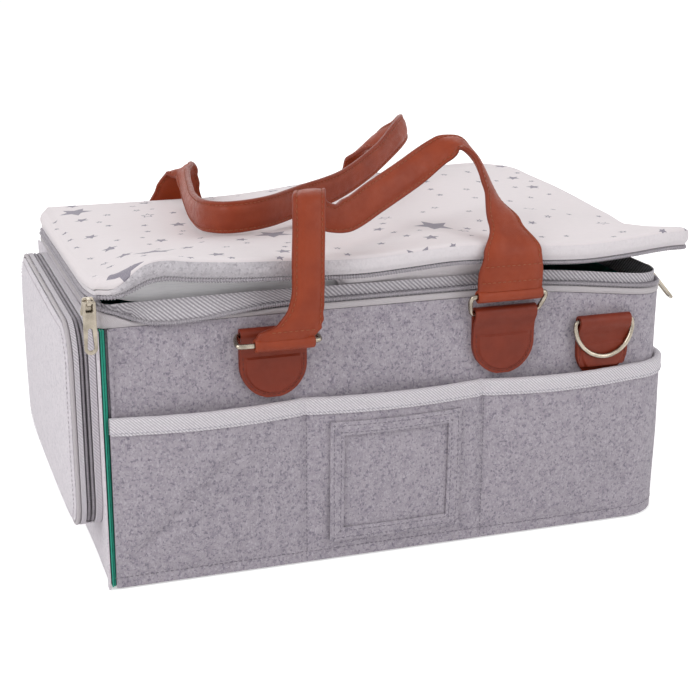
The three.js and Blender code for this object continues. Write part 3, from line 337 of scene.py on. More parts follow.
def makeStarCloth(values):
    material, tree, shader, where = newFinish("starCloth", Roughness=0.8, Sheen_Weight=0.08)
    weave = useGroup(tree, "weave", Vector=where["UV"], Thread=0.00045)
    ink, larger = None, []
    for cell, least, most, share, openness in values["layers"]:
        sizes = {"Cell": cell, "Least": least, "Most": most, "Share": share, "Open": openness}
        layer = useGroup(tree, "stars", Vector=where["UV"], **sizes)
        star = layer["Star"]
        for above in larger:  # a star whose middle lies by a larger one is left out whole
            near = useGroup(tree, "stars", Vector=layer["Middle"], **above)["Near"]
            star = sums(tree, "MULTIPLY", star, sums(tree, "SUBTRACT", 1.0, near))
        ink = star if ink is None else sums(tree, "MAXIMUM", ink, star)
        larger.append(sizes)
    ground = tint(tree, ramp(tree, weave["Slub"], 0.35, 0.75, 0.0, 0.5), values["ground"], values["shadow"])
    worn = ramp(tree, grain(tree, where["UV"], 1500.0, 2.0), 0.2, 0.6, 0.75, 1.0)
    tree.links.new(tint(tree, sums(tree, "MULTIPLY", ink, worn), ground, values["ink"]), shader.inputs["Base Color"])
    bump(tree, shader, weave["Height"], 0.0001, 0.4)
    return material


def makeLeather(name, base, deep):
    material, tree, shader, where = newFinish(name, Coat_Weight=0.04, Coat_Roughness=0.4, Specular_IOR_Level=0.3)
    rim = put(tree, "ShaderNodeAttribute", attribute_name="edge").outputs["Fac"]
    hide = useGroup(tree, "leather", Vector=where["Object"], Base=base, Deep=deep, Edge=rim)
    tree.links.new(hide["Color"], shader.inputs["Base Color"])
    tree.links.new(hide["Roughness"], shader.inputs["Roughness"])
    bump(tree, shader, hide["Height"], 0.00035, 0.35)
    return material


def makeMetal():
    material, tree, shader, where = newFinish("warmNickel", Metallic=1.0)
    scuff = grain(tree, where["Object"], 900.0, 5.0, 0.7)
    cloud = grain(tree, where["Object"], 120.0, 2.0)
    # the warm tint is the metal's own; its tones are set darker and mottled by a noise cloud to stand in for the dark
    # surroundings reflected in it: painted reflection
    tree.links.new(
        tint(tree, ramp(tree, cloud, 0.3, 0.7), colour(182, 172, 157), colour(146, 137, 124)),
        shader.inputs["Base Color"],
    )
    tree.links.new(ramp(tree, scuff, 0.35, 0.7, 0.16, 0.34), shader.inputs["Roughness"])
    bump(tree, shader, scuff, 0.00005, 0.3)
    return material


def makePlainTextured(name, light, dark, scale, rough, distance):
    material, tree, shader, where = newFinish(name, Roughness=rough)
    spot = grain(tree, where["Object"], scale, 4.0, 0.6)
    tree.links.new(tint(tree, ramp(tree, spot, 0.35, 0.65), dark, light), shader.inputs["Base Color"])
    bump(tree, shader, spot, distance, 0.5)
    return material


finishes = {
    "felt": makeFelt("felt"),
    # the lighter felt for the left end panel and end pocket is painted light: the same felt, drawn as if lit more
    # from the left
    "pale_felt": makeFelt("paleFelt"),
    "stripFelt": makeStripFelt(),
    "teal_lining": makeCloth("tealCloth", colour(40, 128, 114), colour(24, 96, 86)),
    "tealSeam": makeCloth("tealSeam", colour(36, 156, 132), colour(26, 128, 108)),
    "board": makePlainTextured("greyBoard", colour(158, 154, 146), colour(126, 122, 116), 260.0, 0.85, 0.0002),
    "twill": makeTape("twillTape", colour(240, 235, 240), colour(186, 180, 187), 0.03, 0.0021),
    "rimTwill": makeTape("rimTape", colour(228, 223, 228), colour(152, 146, 153), 0.03, 0.0029),
    "smoothTape": makeTape("smoothTape", colour(214, 207, 210), colour(196, 189, 193), 0.002, 0.0009),
    "star_fabric": makeStarCloth(starPrint),
    "white_lining": makeCloth("whiteCloth", colour(236, 234, 236), colour(220, 218, 222)),
    "zip_coil": makePlainTextured("zipNylon", colour(186, 180, 186), colour(150, 145, 152), 1400.0, 0.5, 0.0001),
    "leather": makeLeather("tanLeather", colour(146, 57, 24), colour(110, 36, 14)),
    # the tabs' leather is the same leather drawn darker, for tabs that face away from the light: painted shade
    "tabLeather": makeLeather("tabLeather", colour(122, 42, 18), colour(90, 28, 12)),
    "nickel": makeMetal(),
}
threadTones = {
    "greyThread": ((196, 191, 200), (150, 146, 156), 0.8), "darkThread": ((140, 134, 143), (112, 107, 116), 0.8),
    "paleThread": ((214, 207, 213), (190, 184, 190), 0.8), "tanThread": ((166, 92, 56), (128, 62, 36), 0.7),
    "redThread": ((112, 44, 30), (86, 30, 20), 0.7),
}
for kind, (light, dark, rough) in threadTones.items():
    finishes[kind] = makePlainTextured(kind, colour(*light), colour(*dark), 2200.0, rough, 0.0001)
print("finishes made")

lampSetup = {  # place, size, watts
    "keyLamp": ((-1.9, -0.9, 1.7), 1.5, 26),
    "fillLamp": ((1.5, -1.7, 1.2), 1.6, 15),
    "backLamp": ((0.3, 1.7, 1.7), 1.4, 10),
}
lampAim = Vector((0, 0, 0.1))
skySetup = {"strength": 0.56, "floorGlow": 0.5, "floorSize": 60, "floorHeight": -0.0006, "floorTone": 0.9}


def makeStage():
    for name, (spot, size, watts) in lampSetup.items():
        data = bpy.data.lights.new(name, "AREA")
        data.size, data.energy = size, watts
        lamp = place(name, data)
        lamp.location = spot
        lamp.rotation_euler = (lampAim - Vector(spot)).to_track_quat("-Z", "Y").to_euler()
    world = bpy.data.worlds.new("paleStudio")
    bpy.context.scene.world = world
    world.use_nodes = True
    tree = world.node_tree
    tree.nodes.clear()
    paths = put(tree, "ShaderNodeLightPath").outputs
    seen = sums(tree, "MAXIMUM", paths["Is Camera Ray"], paths["Is Glossy Ray"])
    seen = sums(tree, "MAXIMUM", seen, paths["Is Transmission Ray"])
    level = ramp(tree, seen, 0.0, 1.0, skySetup["strength"], 1.0)
    glow = put(tree, "ShaderNodeBackground", {"Color": (1, 1, 1, 1), "Strength": level})
    tree.links.new(glow.outputs[0], put(tree, "ShaderNodeOutputWorld").inputs[0])
    bpy.ops.mesh.primitive_plane_add(size=skySetup["floorSize"], location=(0, 0, skySetup["floorHeight"]))
    floor = bpy.context.object
    floor.name = "paleFloor"
    material = bpy.data.materials.new("paleFloor")
    material.use_nodes = True
    tree = material.node_tree
    shader = tree.nodes["Principled BSDF"]
    shader.inputs["Base Color"].default_value = (*[skySetup["floorTone"]] * 3, 1)
    shader.inputs["Roughness"].default_value = 0.9
    shader.inputs["Emission Color"].default_value = (1, 1, 1, 1)
    paths = put(tree, "ShaderNodeLightPath").outputs
    seen = sums(tree, "MAXIMUM", paths["Is Camera Ray"], paths["Is Glossy Ray"])
    tree.links.new(ramp(tree, seen, 0.0, 1.0, 0.0, skySetup["floorGlow"]), shader.inputs["Emission Strength"])
    floor.data.materials.append(material)


makeCamera(cameraSetup)
makeStage()
bpy.context.scene.view_settings.view_transform = "Standard"
print("stage set")


# Meshes
def addObject(name, verts, faces, corners=None, finish="felt", away=(0, 0, 90)):
    mesh = bpy.data.meshes.new(name)
    mesh.from_pydata([tuple(v) for v in np.asarray(verts) * mm], [], faces)
    if corners is not None:
        layer = mesh.uv_layers.new(name="lengths")
        layer.data.foreach_set("uv", (np.asarray(corners, float) * mm).astype(np.float32).ravel())
    if away is not None:
        centre, outwards = Vector(away) * mm, 0.0
        for face in mesh.polygons:
            outwards += face.area * face.normal.dot((face.center - centre).normalized())
        if outwards < 0:
            mesh.flip_normals()
    made = place(name, mesh)
    mesh.materials.append(finishes[finish])
    return made


def shadeSmooth(mesh, crease):  # smooth up to an angle, in degrees
    mesh.polygons.foreach_set("use_smooth", [True] * len(mesh.polygons))
    mesh.set_sharp_from_angle(angle=math.radians(crease))


def bake(made, crease=40):
    bpy.context.view_layer.update()
    graph = bpy.context.evaluated_depsgraph_get()
    mesh = bpy.data.meshes.new_from_object(made.evaluated_get(graph))
    made.modifiers.clear()
    made.data = mesh
    shadeSmooth(mesh, crease)
    return made


def gridFaces(rows, cols, closed=False, keep=None):
    faces, cells = [], []
    for i in range(rows - 1):
        for j in range(cols if closed else cols - 1):
            if keep is not None and not keep(i, j):
                continue
            k = (j + 1) % cols
            faces.append((i * cols + j, i * cols + k, (i + 1) * cols + k, (i + 1) * cols + j))
            cells.append((i, j))
    return faces, cells


def gridLengths(points, closed=False):
    steps = np.linalg.norm(np.diff(points, axis=1), axis=2).mean(0)
    if closed:
        steps = np.append(steps, np.linalg.norm(points[:, 0] - points[:, -1], axis=1).mean())
    rises = np.linalg.norm(np.diff(points, axis=0), axis=2).mean(1)
    return np.append(0, np.cumsum(steps)), np.append(0, np.cumsum(rises))


def cellCorners(cells, across, up):
    return [(across[j + dj], up[i + di]) for i, j in cells for di, dj in ((0, 0), (0, 1), (1, 1), (1, 0))]


def thicken(made, thick, even):  # inwards from the outer face
    wall = made.modifiers.new("wall", "SOLIDIFY")
    wall.thickness, wall.offset, wall.use_even_offset = thick * mm, -1, even


# A sheet through rows of points, thickened inwards, with softened raw edges.
def addSheet(name, points, thick, finish, closed=False, keep=None, away=(0, 0, 90), soft=0.35, crease=40):
    points = np.asarray(points, float)
    rows, cols = points.shape[:2]
    faces, cells = gridFaces(rows, cols, closed, keep)
    corners = cellCorners(cells, *gridLengths(points, closed))
    made = addObject(name, points.reshape(-1, 3), faces, corners, finish, away)
    thicken(made, thick, True)
    edge = made.modifiers.new("edge", "BEVEL")
    edge.width, edge.segments, edge.limit_method = soft * mm, 2, "ANGLE"
    edge.angle_limit = math.radians(60)
    return bake(made, crease)


# A closed skin through rings of points.
def addSkin(name, rings, finish, joined=False, crease=60, edge=None):
    rings = np.asarray(rings, float)
    rows, cols = rings.shape[:2]
    across, up = gridLengths(rings, True)
    grid = np.concatenate([rings, rings[:1]]) if joined else rings
    faces, cells = gridFaces(len(grid), cols, True)
    if joined:
        up = np.append(up, up[-1] + np.linalg.norm(rings[0] - rings[-1], axis=1).mean())
        faces = [tuple(v % (rows * cols) for v in face) for face in faces]
    corners = cellCorners(cells, across, up)
    if not joined:  # closed with a flat end at both sides
        for ends, last in ((range(cols - 1, -1, -1), 0), (range(cols), (rows - 1) * cols)):
            faces.append(tuple(last + j for j in ends))
            corners += [(across[j], up[-1] if last else 0) for j in ends]
    made = addObject(name, rings.reshape(-1, 3), faces, corners, finish, None)
    if edge is not None:
        worn = made.data.attributes.new("edge", "FLOAT", "POINT")
        worn.data.foreach_set("value", np.asarray(edge, np.float32).ravel())
    form = bmesh.new()
    form.from_mesh(made.data)
    bmesh.ops.recalc_face_normals(form, faces=form.faces)
    form.to_mesh(made.data)
    form.free()
    shadeSmooth(made.data, crease)
    return made


def joinPieces(name, pieces):
    form = bmesh.new()
    for piece in pieces:
        form.from_mesh(piece.data)
    first = pieces[0]
    for piece in pieces[1:]:
        bpy.data.objects.remove(piece)
    form.to_mesh(first.data)
    form.free()
    first.name = name
    return first


def settle(made, body, slot, *nodes):
    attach(made, body)
    if nodes:
        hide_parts(*nodes)
    return made


# Smooth paths
def bend(points, count, tension=None):
    points = np.asarray(points, float)
    last = len(points) - 1
    padded = np.vstack([2 * points[0] - points[1], points, 2 * points[-1] - points[-2]])
    shares = np.linspace(0, last, count) if np.isscalar(count) else np.asarray(count) * last
    made = []
    for share in shares:
        k = min(int(share), last - 1)
        w = share - k
        a, b, c, d = padded[k:k + 4]
        if tension is None:
            ab, bc, cd = (max(np.linalg.norm(q - p) ** 0.5, 1e-6) for p, q in ((a, b), (b, c), (c, d)))
            t0 = ((b - a) / ab - (c - a) / (ab + bc) + (c - b) / bc) * bc
            t1 = ((c - b) / bc - (d - b) / (bc + cd) + (d - c) / cd) * bc
        else:
            t0, t1 = tension * (c - a), tension * (d - b)
        made.append(b + t0 * w + (3 * (c - b) - 2 * t0 - t1) * w ** 2 + (2 * (b - c) + t0 + t1) * w ** 3)
    return np.array(made)


def evenly(points, count):  # the same path with points at equal steps
    points = np.asarray(points, float)
    far = np.append(0, np.cumsum(np.linalg.norm(np.diff(points, axis=0), axis=1)))
    wanted = np.linspace(0, far[-1], count)
    return np.stack([np.interp(wanted, far, points[:, k]) for k in range(3)], 1)


def tubeRings(path, radius, sides=10, joined=False):
    path = np.asarray(path, float)
    count = len(path)
    ahead = [path[(i + 1) % count] - path[i - 1] if joined else path[min(i + 1, count - 1)] - path[max(i - 1, 0)]
             for i in range(count)]
    ahead = [a / np.linalg.norm(a) for a in ahead]
    side = np.cross(ahead[0], (0, 0, 1) if abs(ahead[0][2]) < 0.9 else (1, 0, 0))
    rings = []
    for spot, way in zip(path, ahead):
        side = side - way * side.dot(way)
        side /= np.linalg.norm(side)
        other = np.cross(way, side)
        turns = np.arange(sides) * 2 * math.pi / sides
        rings.append([spot + radius * (math.cos(t) * side + math.sin(t) * other) for t in turns])
    return rings


def smooth(x, low, high):
    x = min(max((x - low) / (high - low), 0), 1)
    return x * x * (3 - 2 * x)


def ripple(x, y, z, size, seed=0.0):
    return noise.noise(Vector((x / size + seed, y / size - seed, z / size + 2 * seed)))


# Threads and zip turns are laid along paths by two small node trees.
def newRunTree(name, given):
    tree = bpy.data.node_groups.new(name, "GeometryNodeTree")
    tree.interface.new_socket(name="Geometry", in_out="INPUT", socket_type="NodeSocketGeometry")
    for label, kind in given.items():
        tree.interface.new_socket(name=label, in_out="INPUT", socket_type="NodeSocket" + kind)
    tree.interface.new_socket(name="Geometry", in_out="OUTPUT", socket_type="NodeSocketGeometry")
    return tree, tree.nodes.new("NodeGroupInput").outputs, tree.nodes.new("NodeGroupOutput").inputs


def endRunTree(tree, given, out, bead, scale):
    line = put(tree, "GeometryNodeMeshToCurve", {"Mesh": given["Geometry"]}).outputs[0]
    even = put(tree, "GeometryNodeResampleCurve", {"Curve": line, "Length": given["Pitch"]}, mode="LENGTH").outputs[0]
    way = put(tree, "GeometryNodeInputTangent").outputs[0]
    turn = put(tree, "FunctionNodeAlignRotationToVector", {"Vector": way}, axis="Z").outputs[0]
    beads = {"Points": even, "Instance": bead, "Rotation": turn, "Scale": scale}
    laid = put(tree, "GeometryNodeInstanceOnPoints", beads).outputs[0]
    real = put(tree, "GeometryNodeRealizeInstances", {0: laid}).outputs[0]
    made = put(tree, "GeometryNodeSetMaterial", {"Geometry": real, "Material": given["Material"]}).outputs[0]
    tree.links.new(made, out[0])
    return tree


def makeThreadTree():
    sizes = {"Pitch": "Float", "Length": "Float", "Radius": "Float", "Material": "Material"}
    tree, given, out = newRunTree("threadRun", sizes)
    bead = put(tree, "GeometryNodeMeshUVSphere", {"Segments": 6, "Rings": 5, "Radius": 1.0}).outputs[0]
    half = sums(tree, "MULTIPLY", given["Length"], 0.5)
    scale = put(tree, "ShaderNodeCombineXYZ", {0: given["Radius"], 1: given["Radius"], 2: half}).outputs[0]
    return endRunTree(tree, given, out, bead, scale)


def makeTurnTree():
    sizes = {"Pitch": "Float", "Reach": "Float", "Wire": "Float", "Material": "Material"}
    tree, given, out = newRunTree("zipTurns", sizes)
    centre = sums(tree, "SUBTRACT", given["Reach"], given["Wire"])
    ring = put(tree, "GeometryNodeCurvePrimitiveCircle", {"Resolution": 9, "Radius": centre}).outputs[0]
    wire = put(tree, "GeometryNodeCurvePrimitiveCircle", {"Resolution": 5, "Radius": given["Wire"]}).outputs[0]
    links = {"Curve": ring, "Profile Curve": wire}
    bead = put(tree, "GeometryNodeCurveToMesh", links).outputs[0]
    scale = put(tree, "ShaderNodeCombineXYZ", {0: 1.0, 1: 1.0, 2: 1.0}).outputs[0]
    return endRunTree(tree, given, out, bead, scale)


runTrees = {"thread": makeThreadTree(), "turns": makeTurnTree()}


def layRuns(name, paths, kind, finish, **sizes):
    verts, edges = [], []
    for path in paths:
        path = np.asarray(path, float) * mm
        start = len(verts)
        verts += [tuple(p) for p in path]
        edges += [(start + i, start + i + 1) for i in range(len(path) - 1)]
    mesh = bpy.data.meshes.new(name)
    mesh.from_pydata(verts, edges, [])
    made = place(name, mesh)
    rule = made.modifiers.new("run", "NODES")
    rule.node_group = runTrees[kind]
    values = {**{key: size * mm for key, size in sizes.items()}, "Material": finishes[finish]}
    for item in rule.node_group.interface.items_tree:
        if item.in_out == "INPUT" and item.name in values:
            rule[item.identifier] = values[item.name]
    return bake(made, 80)


def makeZipCoil(name, path, radius, core, **turnSizes):  # a plain core with wire turns over it
    rope = addSkin("core", tubeRings(path, radius * core, 8), "zip_coil")
    turns = layRuns("turns", [path], "turns", "zip_coil", **turnSizes)
    return joinPieces(name, [rope, turns])


threads = {}  # (body, finish): paths, sewn when every piece is there


def sew(body, finish, path):
    threads.setdefault((body, finish), []).append(np.asarray(path, float))


# The body's run, measured from the front left corner: front, right end, back.
bagSizes = {
    "length": 380, "depth": 256, "wall": 164, "corner": 28, "felt": 3, "gap": 0.3, "sag": 10, "sagRun": 90,
    "lift": 8, "flange": -185.1, "flangeTurn": 2.0, "flangeReach": 1.6, "seamReach": 3.2,
    "seamLayers": (-189.5, -188.3, -187.7),
}
halfLength, halfDepth, corner = bagSizes["length"] / 2, bagSizes["depth"] / 2, bagSizes["corner"]
gap = bagSizes["gap"]
frontRun = bagSizes["length"] - corner
cornerRun = math.pi / 2 * corner
endStart = frontRun + cornerRun
backCorner = endStart + bagSizes["depth"] - 2 * corner
backStart = backCorner + cornerRun
wallRun = backStart + frontRun


def onWall(s, out, z):
    if s < 0:
        return (-halfLength - out, -halfDepth - s, z)
    if s == 0:
        return (-halfLength - out, -halfDepth - out, z)
    if s <= frontRun:
        return (-halfLength + s, -halfDepth - out, z)
    reach, centre = corner + out, halfLength - corner
    if s < endStart:
        a = (s - frontRun) / corner - math.pi / 2
        return (centre + reach * math.cos(a), -halfDepth + corner + reach * math.sin(a), z)
    if s <= backCorner:
        return (halfLength + out, -halfDepth + corner + s - endStart, z)
    if s < backStart:
        a = (s - backCorner) / corner
        return (centre + reach * math.cos(a), halfDepth - corner + reach * math.sin(a), z)
    return (centre - (s - backStart), halfDepth + out, z)


def stations(start, end, step=5.0):
    marks = [start, *[m for m in (frontRun, endStart, backCorner, backStart) if start < m < end], end]
    made = [start]
    for a, b in zip(marks, marks[1:]):
        count = max(2, round((b - a) / step))
        made += [a + (b - a) * i / count for i in range(1, count + 1)]
    return made


def sagAt(s):
    fall = smooth(s, endStart - cornerRun - bagSizes["sagRun"], endStart - 10)
    return bagSizes["sag"] * fall * (1 - smooth(s, endStart + 30, backCorner))


def liftAt(s):  # the zip stands up at the slider, then hangs over the front wall's edge
    runs = (-60, -40, -20, 0, 9, 18, 30, 44, 60, 80, 102, 125)
    return float(np.interp(s, runs, (0, 1.4, 4.2, 5.8, 3.4, -0.6, -4.2, -5.2, -4.4, -2.4, -0.7, 0)))


def droopAt(s):
    return 3.1 * smooth(-liftAt(s), 0, 4) if s > 0 else 0


def wallTop(s):
    return bagSizes["wall"] - sagAt(s)


def wallSway(s, z):  # the felt isn't quite flat
    p = onWall(s, 0, z)
    return 0.9 * ripple(*p, 70, 3.1) * smooth(z, 4, 60) * (1 - 0.5 * smooth(z, 130, 164))


def makeWalls():
    flange, tip, turn = bagSizes["flange"], halfDepth + bagSizes["flangeReach"], bagSizes["flangeTurn"]
    start = flange + turn + halfLength
    around = stations(start, wallRun - start)
    rows = []
    for level in np.linspace(0, 1, 20):
        row = [onWall(s, wallSway(s, wallTop(s) * level), wallTop(s) * level) for s in around]
        z = bagSizes["wall"] * level
        lead = [(flange, -tip, z), (flange, -halfDepth - turn, z), (flange + 0.6, -halfDepth - 0.6, z)]
        trail = [(x, -y, z) for x, y, z in lead][::-1]
        rows.append(lead + row + trail)
    made = addSheet("wallFelt", rows, bagSizes["felt"] - 0.8, "felt", soft=0.5)
    settle(made, "caddy", "felt", "wall_strip")
    makeEndWall()


def makeEndWall():  # the end panel, drawn pale with painted light, flaring a little at its seams, and the lining caught in them
    rows = []
    tip = halfDepth + bagSizes["seamReach"]
    for level in np.linspace(0, 1, 18):
        z = bagSizes["wall"] * level
        rows.append([(-halfLength - 1.7 * smooth(abs(y), halfDepth - 9, halfDepth - 1)
                      - 0.8 * ripple(0, y, z, 60, 7.7) * smooth(tip - abs(y), 0, 30), y, z)
                     for y in np.linspace(-tip, tip, 54)])
    # the end panel takes the pale felt: painted light on the same felt
    made = addSheet("endFelt", rows, bagSizes["felt"] - 1.6, "pale_felt", soft=0.5)
    settle(made, "caddy", "felt", "left_wall")
    for side, end in (("Front", -1), ("Back", 1)):
        layers = []
        for step, x in enumerate(bagSizes["seamLayers"]):
            rows = []
            for z in np.linspace(1.5, bagSizes["wall"] - 0.2, 60):
                reach = tip - 0.3 - 0.9 * step + 0.35 * ripple(x, 3, z, 7, 1.3)
                sway = 0.15 * ripple(x, 9, z, 26, 5)
                rows.append([(x + sway, end * y, z) for y in np.linspace(halfDepth - 2.5, reach, 4)])
            layers.append(addSheet("seamLayer", rows, 0.9, "tealSeam", away=(0, 0, 82), soft=0.3))
        made = joinPieces("seamLining" + side, layers)
        settle(made, "caddy", "teal_lining", "seam_lining_" + side.lower())


def innerOutline(inset, step=6.0):  # round corners on the right, sharp ones on the left
    left, right, half, r = -halfLength + inset, halfLength - inset, halfDepth - inset, corner - inset
    count = round((right - r - left) / step)

    def arc(y, turns):
        return [(right - r + r * math.cos(a), y + r * math.sin(a)) for a in turns[1:]]

    path = [(x, -half) for x in np.linspace(left, right - r, count)]
    path += arc(-half + r, np.linspace(-math.pi / 2, 0, 9))
    path += [(right, y) for y in np.linspace(-half + r, half - r, 34)[1:]]
    path += arc(half - r, np.linspace(0, math.pi / 2, 9))
    path += [(x, half) for x in np.linspace(right - r, left, count)[1:]]
    return path + [(left, y) for y in np.linspace(half, -half, 42)[1:-1]]


def slab(name, inset, low, high, finish, soft=0.4):
    shape = ((soft, low), (0, low + soft), (0, high - soft), (soft, high))
    rings = [[(x, y, z) for x, y in innerOutline(inset + more)] for more, z in shape]
    return addSkin(name, rings, finish)


def makeFloorAndLinings():
    wall = bagSizes["felt"] + gap
    settle(slab("baseFelt", wall, 0, 3, "felt"), "caddy", "felt", "base_panel")
    cloth = slab("baseLining", wall + 1.4, 5.7, 6.7, "teal_lining", 0.3)
    settle(cloth, "caddy", "teal_lining", "base_lining")
    outline = innerOutline(wall)
    rows = []
    for z in np.linspace(3.4, bagSizes["wall"] - bagSizes["sag"] - gap, 20):
        row = []
        for x, y in outline:
            inwards = 0.9 + 0.9 * ripple(x, y, z, 45, 2.2)
            inwards *= smooth(z, 4, 30) * (1 - smooth(z, 135, 153))
            row.append((x * (1 - inwards / halfLength), y * (1 - inwards / halfDepth), z))
        rows.append(row)
    cloth = addSheet("wallLining", rows, 1.0, "teal_lining", closed=True, soft=0.3)
    settle(cloth, "caddy", "teal_lining", "wall_lining")
    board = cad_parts["base_board"]
    board.data.materials.clear()
    board.data.materials.append(finishes["board"])


# Pockets: sewn flat at the divisions and full between them.
pocketSizes = {
    "height": 110, "floor": 8, "stitches": (-67, 52), "left": 6.5, "middle": 6, "right": 7, "end": 7,
    "tapeWidth": 10.5, "tape": 0.8, "start": 3.2, "tapeStitch": 1.7, "footStitch": 7.5,
}
pocketTop, pocketFoot = pocketSizes["height"], pocketSizes["height"] - pocketSizes["tapeWidth"]
stitchRuns = [x + halfLength for x in pocketSizes["stitches"]]
bandStart = pocketSizes["start"]
frontBays = [
    (bandStart, stitchRuns[0], pocketSizes["left"]), (stitchRuns[0], stitchRuns[1], pocketSizes["middle"]),
    (stitchRuns[1], frontRun, pocketSizes["right"]),
]
bays = [*frontBays, (endStart, backCorner, pocketSizes["end"])]
bays += [(wallRun - b, wallRun - a, full) for a, b, full in frontBays[::-1]]  # the back is the front turned round
divisions = (*stitchRuns, *(wallRun - r for r in stitchRuns))
creases = [  # run and height at each end, depth, width
    ((8, 12), (93, 96), 3.2, 4.4), ((76, 6), (106, 58), 1.8, 5.0), ((60, 96), (30, 60), 0.8, 8.0),
    ((311, 72), (352, 22), 2.4, 5.0), ((342, 40), (300, 18), 1.0, 7.0), ((262, 90), (300, 60), 0.9, 8.0),
    ((440, 20), (520, 88), 1.4, 8.0), ((580, 30), (530, 80), 1.0, 8.0), ((700, 90), (760, 30), 1.3, 8.0),
    ((880, 20), (960, 84), 1.6, 7.0), ((900, 88), (940, 50), 0.8, 8.0),
]


def bandGap(s, z):
    bay = next((b for b in bays if b[0] < s < b[1]), None)
    rise = (z - pocketSizes["floor"]) / (pocketFoot - pocketSizes["floor"] - 3)
    opening = math.sqrt(min(max(rise, 0), 1))
    full = bay[2] * math.sin(math.pi * (s - bay[0]) / (bay[1] - bay[0])) if bay else 0
    return gap + opening * (gap + pocketSizes["tape"] + full)


def alongLine(x, y, start, end):  # how far along a line, how far beside it, and its length
    length = math.dist(start, end)
    dx, dy = (end[0] - start[0]) / length, (end[1] - start[1]) / length
    x, y = x - start[0], y - start[1]
    return x * dx + y * dy, x * dy - y * dx, length


def creaseAt(s, z):
    depth = 0.0
    for start, end, deep, wide in creases:
        along, off, length = alongLine(s, z, start, end)
        fade = smooth(along, -4, 14) * (1 - smooth(along, length - 14, length + 4))
        if fade > 0 and abs(off) < 4 * wide:
            depth += deep * fade * (0.55 * math.exp(-((off - wide) / wide) ** 2) - math.exp(-(off / wide * 1.6) ** 2))
    return depth


def bandFace(s, z):  # how far the pocket's outer face stands from the wall
    swell = creaseAt(s, z) + 0.8 * ripple(s, 0, z, 38, 4.4)
    swell *= smooth(z, 3, 22) * (1 - 0.7 * smooth(z, 80, pocketTop))
    nearest = min(abs(s - m) for m in divisions)
    pinch = 1.3 * math.exp(-(nearest / 2.2) ** 2) * smooth(z, 0, 6)
    flat = smooth(min(nearest, s - bandStart, wallRun - bandStart - s), 0, 10)
    return max(bandGap(s, z) + 3 + swell * flat - pinch, 2.4)


def bandStations():
    marks = sorted({bandStart, wallRun - bandStart, *(m for b in bays for m in b[:2])})
    made = [marks[0]]
    for a, b in zip(marks, marks[1:]):
        count = max(4, round((b - a) / 4.0))
        shares = [k / count for k in range(1, count + 1)]  # closer at the seams, where the felt is pulled in
        made += [a + (b - a) * (share - 0.1 * math.sin(2 * math.pi * share)) for share in shares]
    return made


def makePockets():
    around = bandStations()
    levels = [0.5, 2, 5, 8, 11, 15, 20, *np.linspace(26, pocketTop - 1.4, 24)]
    rows = [[onWall(s, bandFace(s, z), z) for s in around] for z in levels]
    made = addSheet("pocketFelt", rows, bagSizes["felt"] - 0.4, "felt", soft=0.5)
    settle(made, "caddy", "felt", "pocket_band")
    rows = []
    foot, top, tape = pocketFoot, pocketTop, pocketSizes["tape"]
    for outer, z in ((1, foot), (1, foot + 2.4), (1, foot + 5), (1, top - 2.4), (0.94, top - 0.8), (0.72, top - 0.1),
                     (0.5, top), (0.28, top - 0.1), (0.06, top - 0.8), (0, top - 2.4), (0, foot + 4), (0, foot)):
        row = []
        for s in around:
            outside = bandFace(s, min(z, top - 1)) + gap + tape
            inside = outside - 3 - 2 * gap - 2 * tape
            dip = 0.25 * ripple(s, z, 0, 9, 6) if 0 < outer < 1 or z == foot else 0
            row.append(onWall(s, inside + (outside - inside) * outer, z + dip))
        rows.append(row)
    made = addSheet("pocketTape", rows, tape, "twill", soft=0.2, crease=50)
    settle(made, "caddy", "twill", "pocket_binding")
    z = pocketFoot + pocketSizes["tapeStitch"]
    sew("caddy", "greyThread", [onWall(s, bandFace(s, z) + gap + tape + 0.12, z) for s in around])
    for run in divisions:
        s = run + 1.4
        sew("caddy", "darkThread", [onWall(s, bandFace(s, z) + 0.1, z) for z in np.linspace(3, pocketFoot, 30)])
    z = pocketSizes["footStitch"]
    sew("caddy", "darkThread", [onWall(s, bandFace(s, z) + 0.1, z) for s in around])


labelSizes = {"width": 88, "height": 81, "border": 9, "bottom": 13, "thick": 1.6}


def makeLabelFrame():
    v = labelSizes
    middle = (stitchRuns[0] + stitchRuns[1]) / 2
    half, inner = v["width"] / 2, v["width"] / 2 - v["border"]
    low, high = v["bottom"], v["bottom"] + v["height"]

    def steps(a, b, count):  # closer on the borders
        c, d = a + v["border"], b - v["border"]
        return [*np.linspace(a, c, 5), *np.linspace(c, d, count)[1:-1], *np.linspace(d, b, 5)]

    across, up = steps(-half, half, 19), steps(low, high, 17)

    def face(a, z):
        lift = 1.5 * smooth(-a, half - 7, half) * (0.5 + 0.5 * math.sin(z / 16))  # the left edge stands off
        return onWall(middle + a, bandFace(middle + a, z) + gap + v["thick"] + lift, z)

    def solid(i, j):
        centre = (across[j] + across[j + 1]) / 2, (up[i] + up[i + 1]) / 2
        return abs(centre[0]) > inner or not low + v["border"] < centre[1] < high - v["border"]

    rows = [[face(a, z) for a in across] for z in up]
    made = addSheet("labelFrame", rows, v["thick"], "felt", keep=solid, soft=0.45)
    settle(made, "caddy", "pale_felt", "label_frame")
    for inset in (2.4, v["border"] - 2.0):
        for a in (-half + inset, half - inset):
            sew("caddy", "darkThread", [face(a, z) for z in np.linspace(low + inset, high - inset, 24)])
        for z in (low + inset, high - inset):
            sew("caddy", "darkThread", [face(a, z) for a in np.linspace(-half + inset, half - inset, 24)])


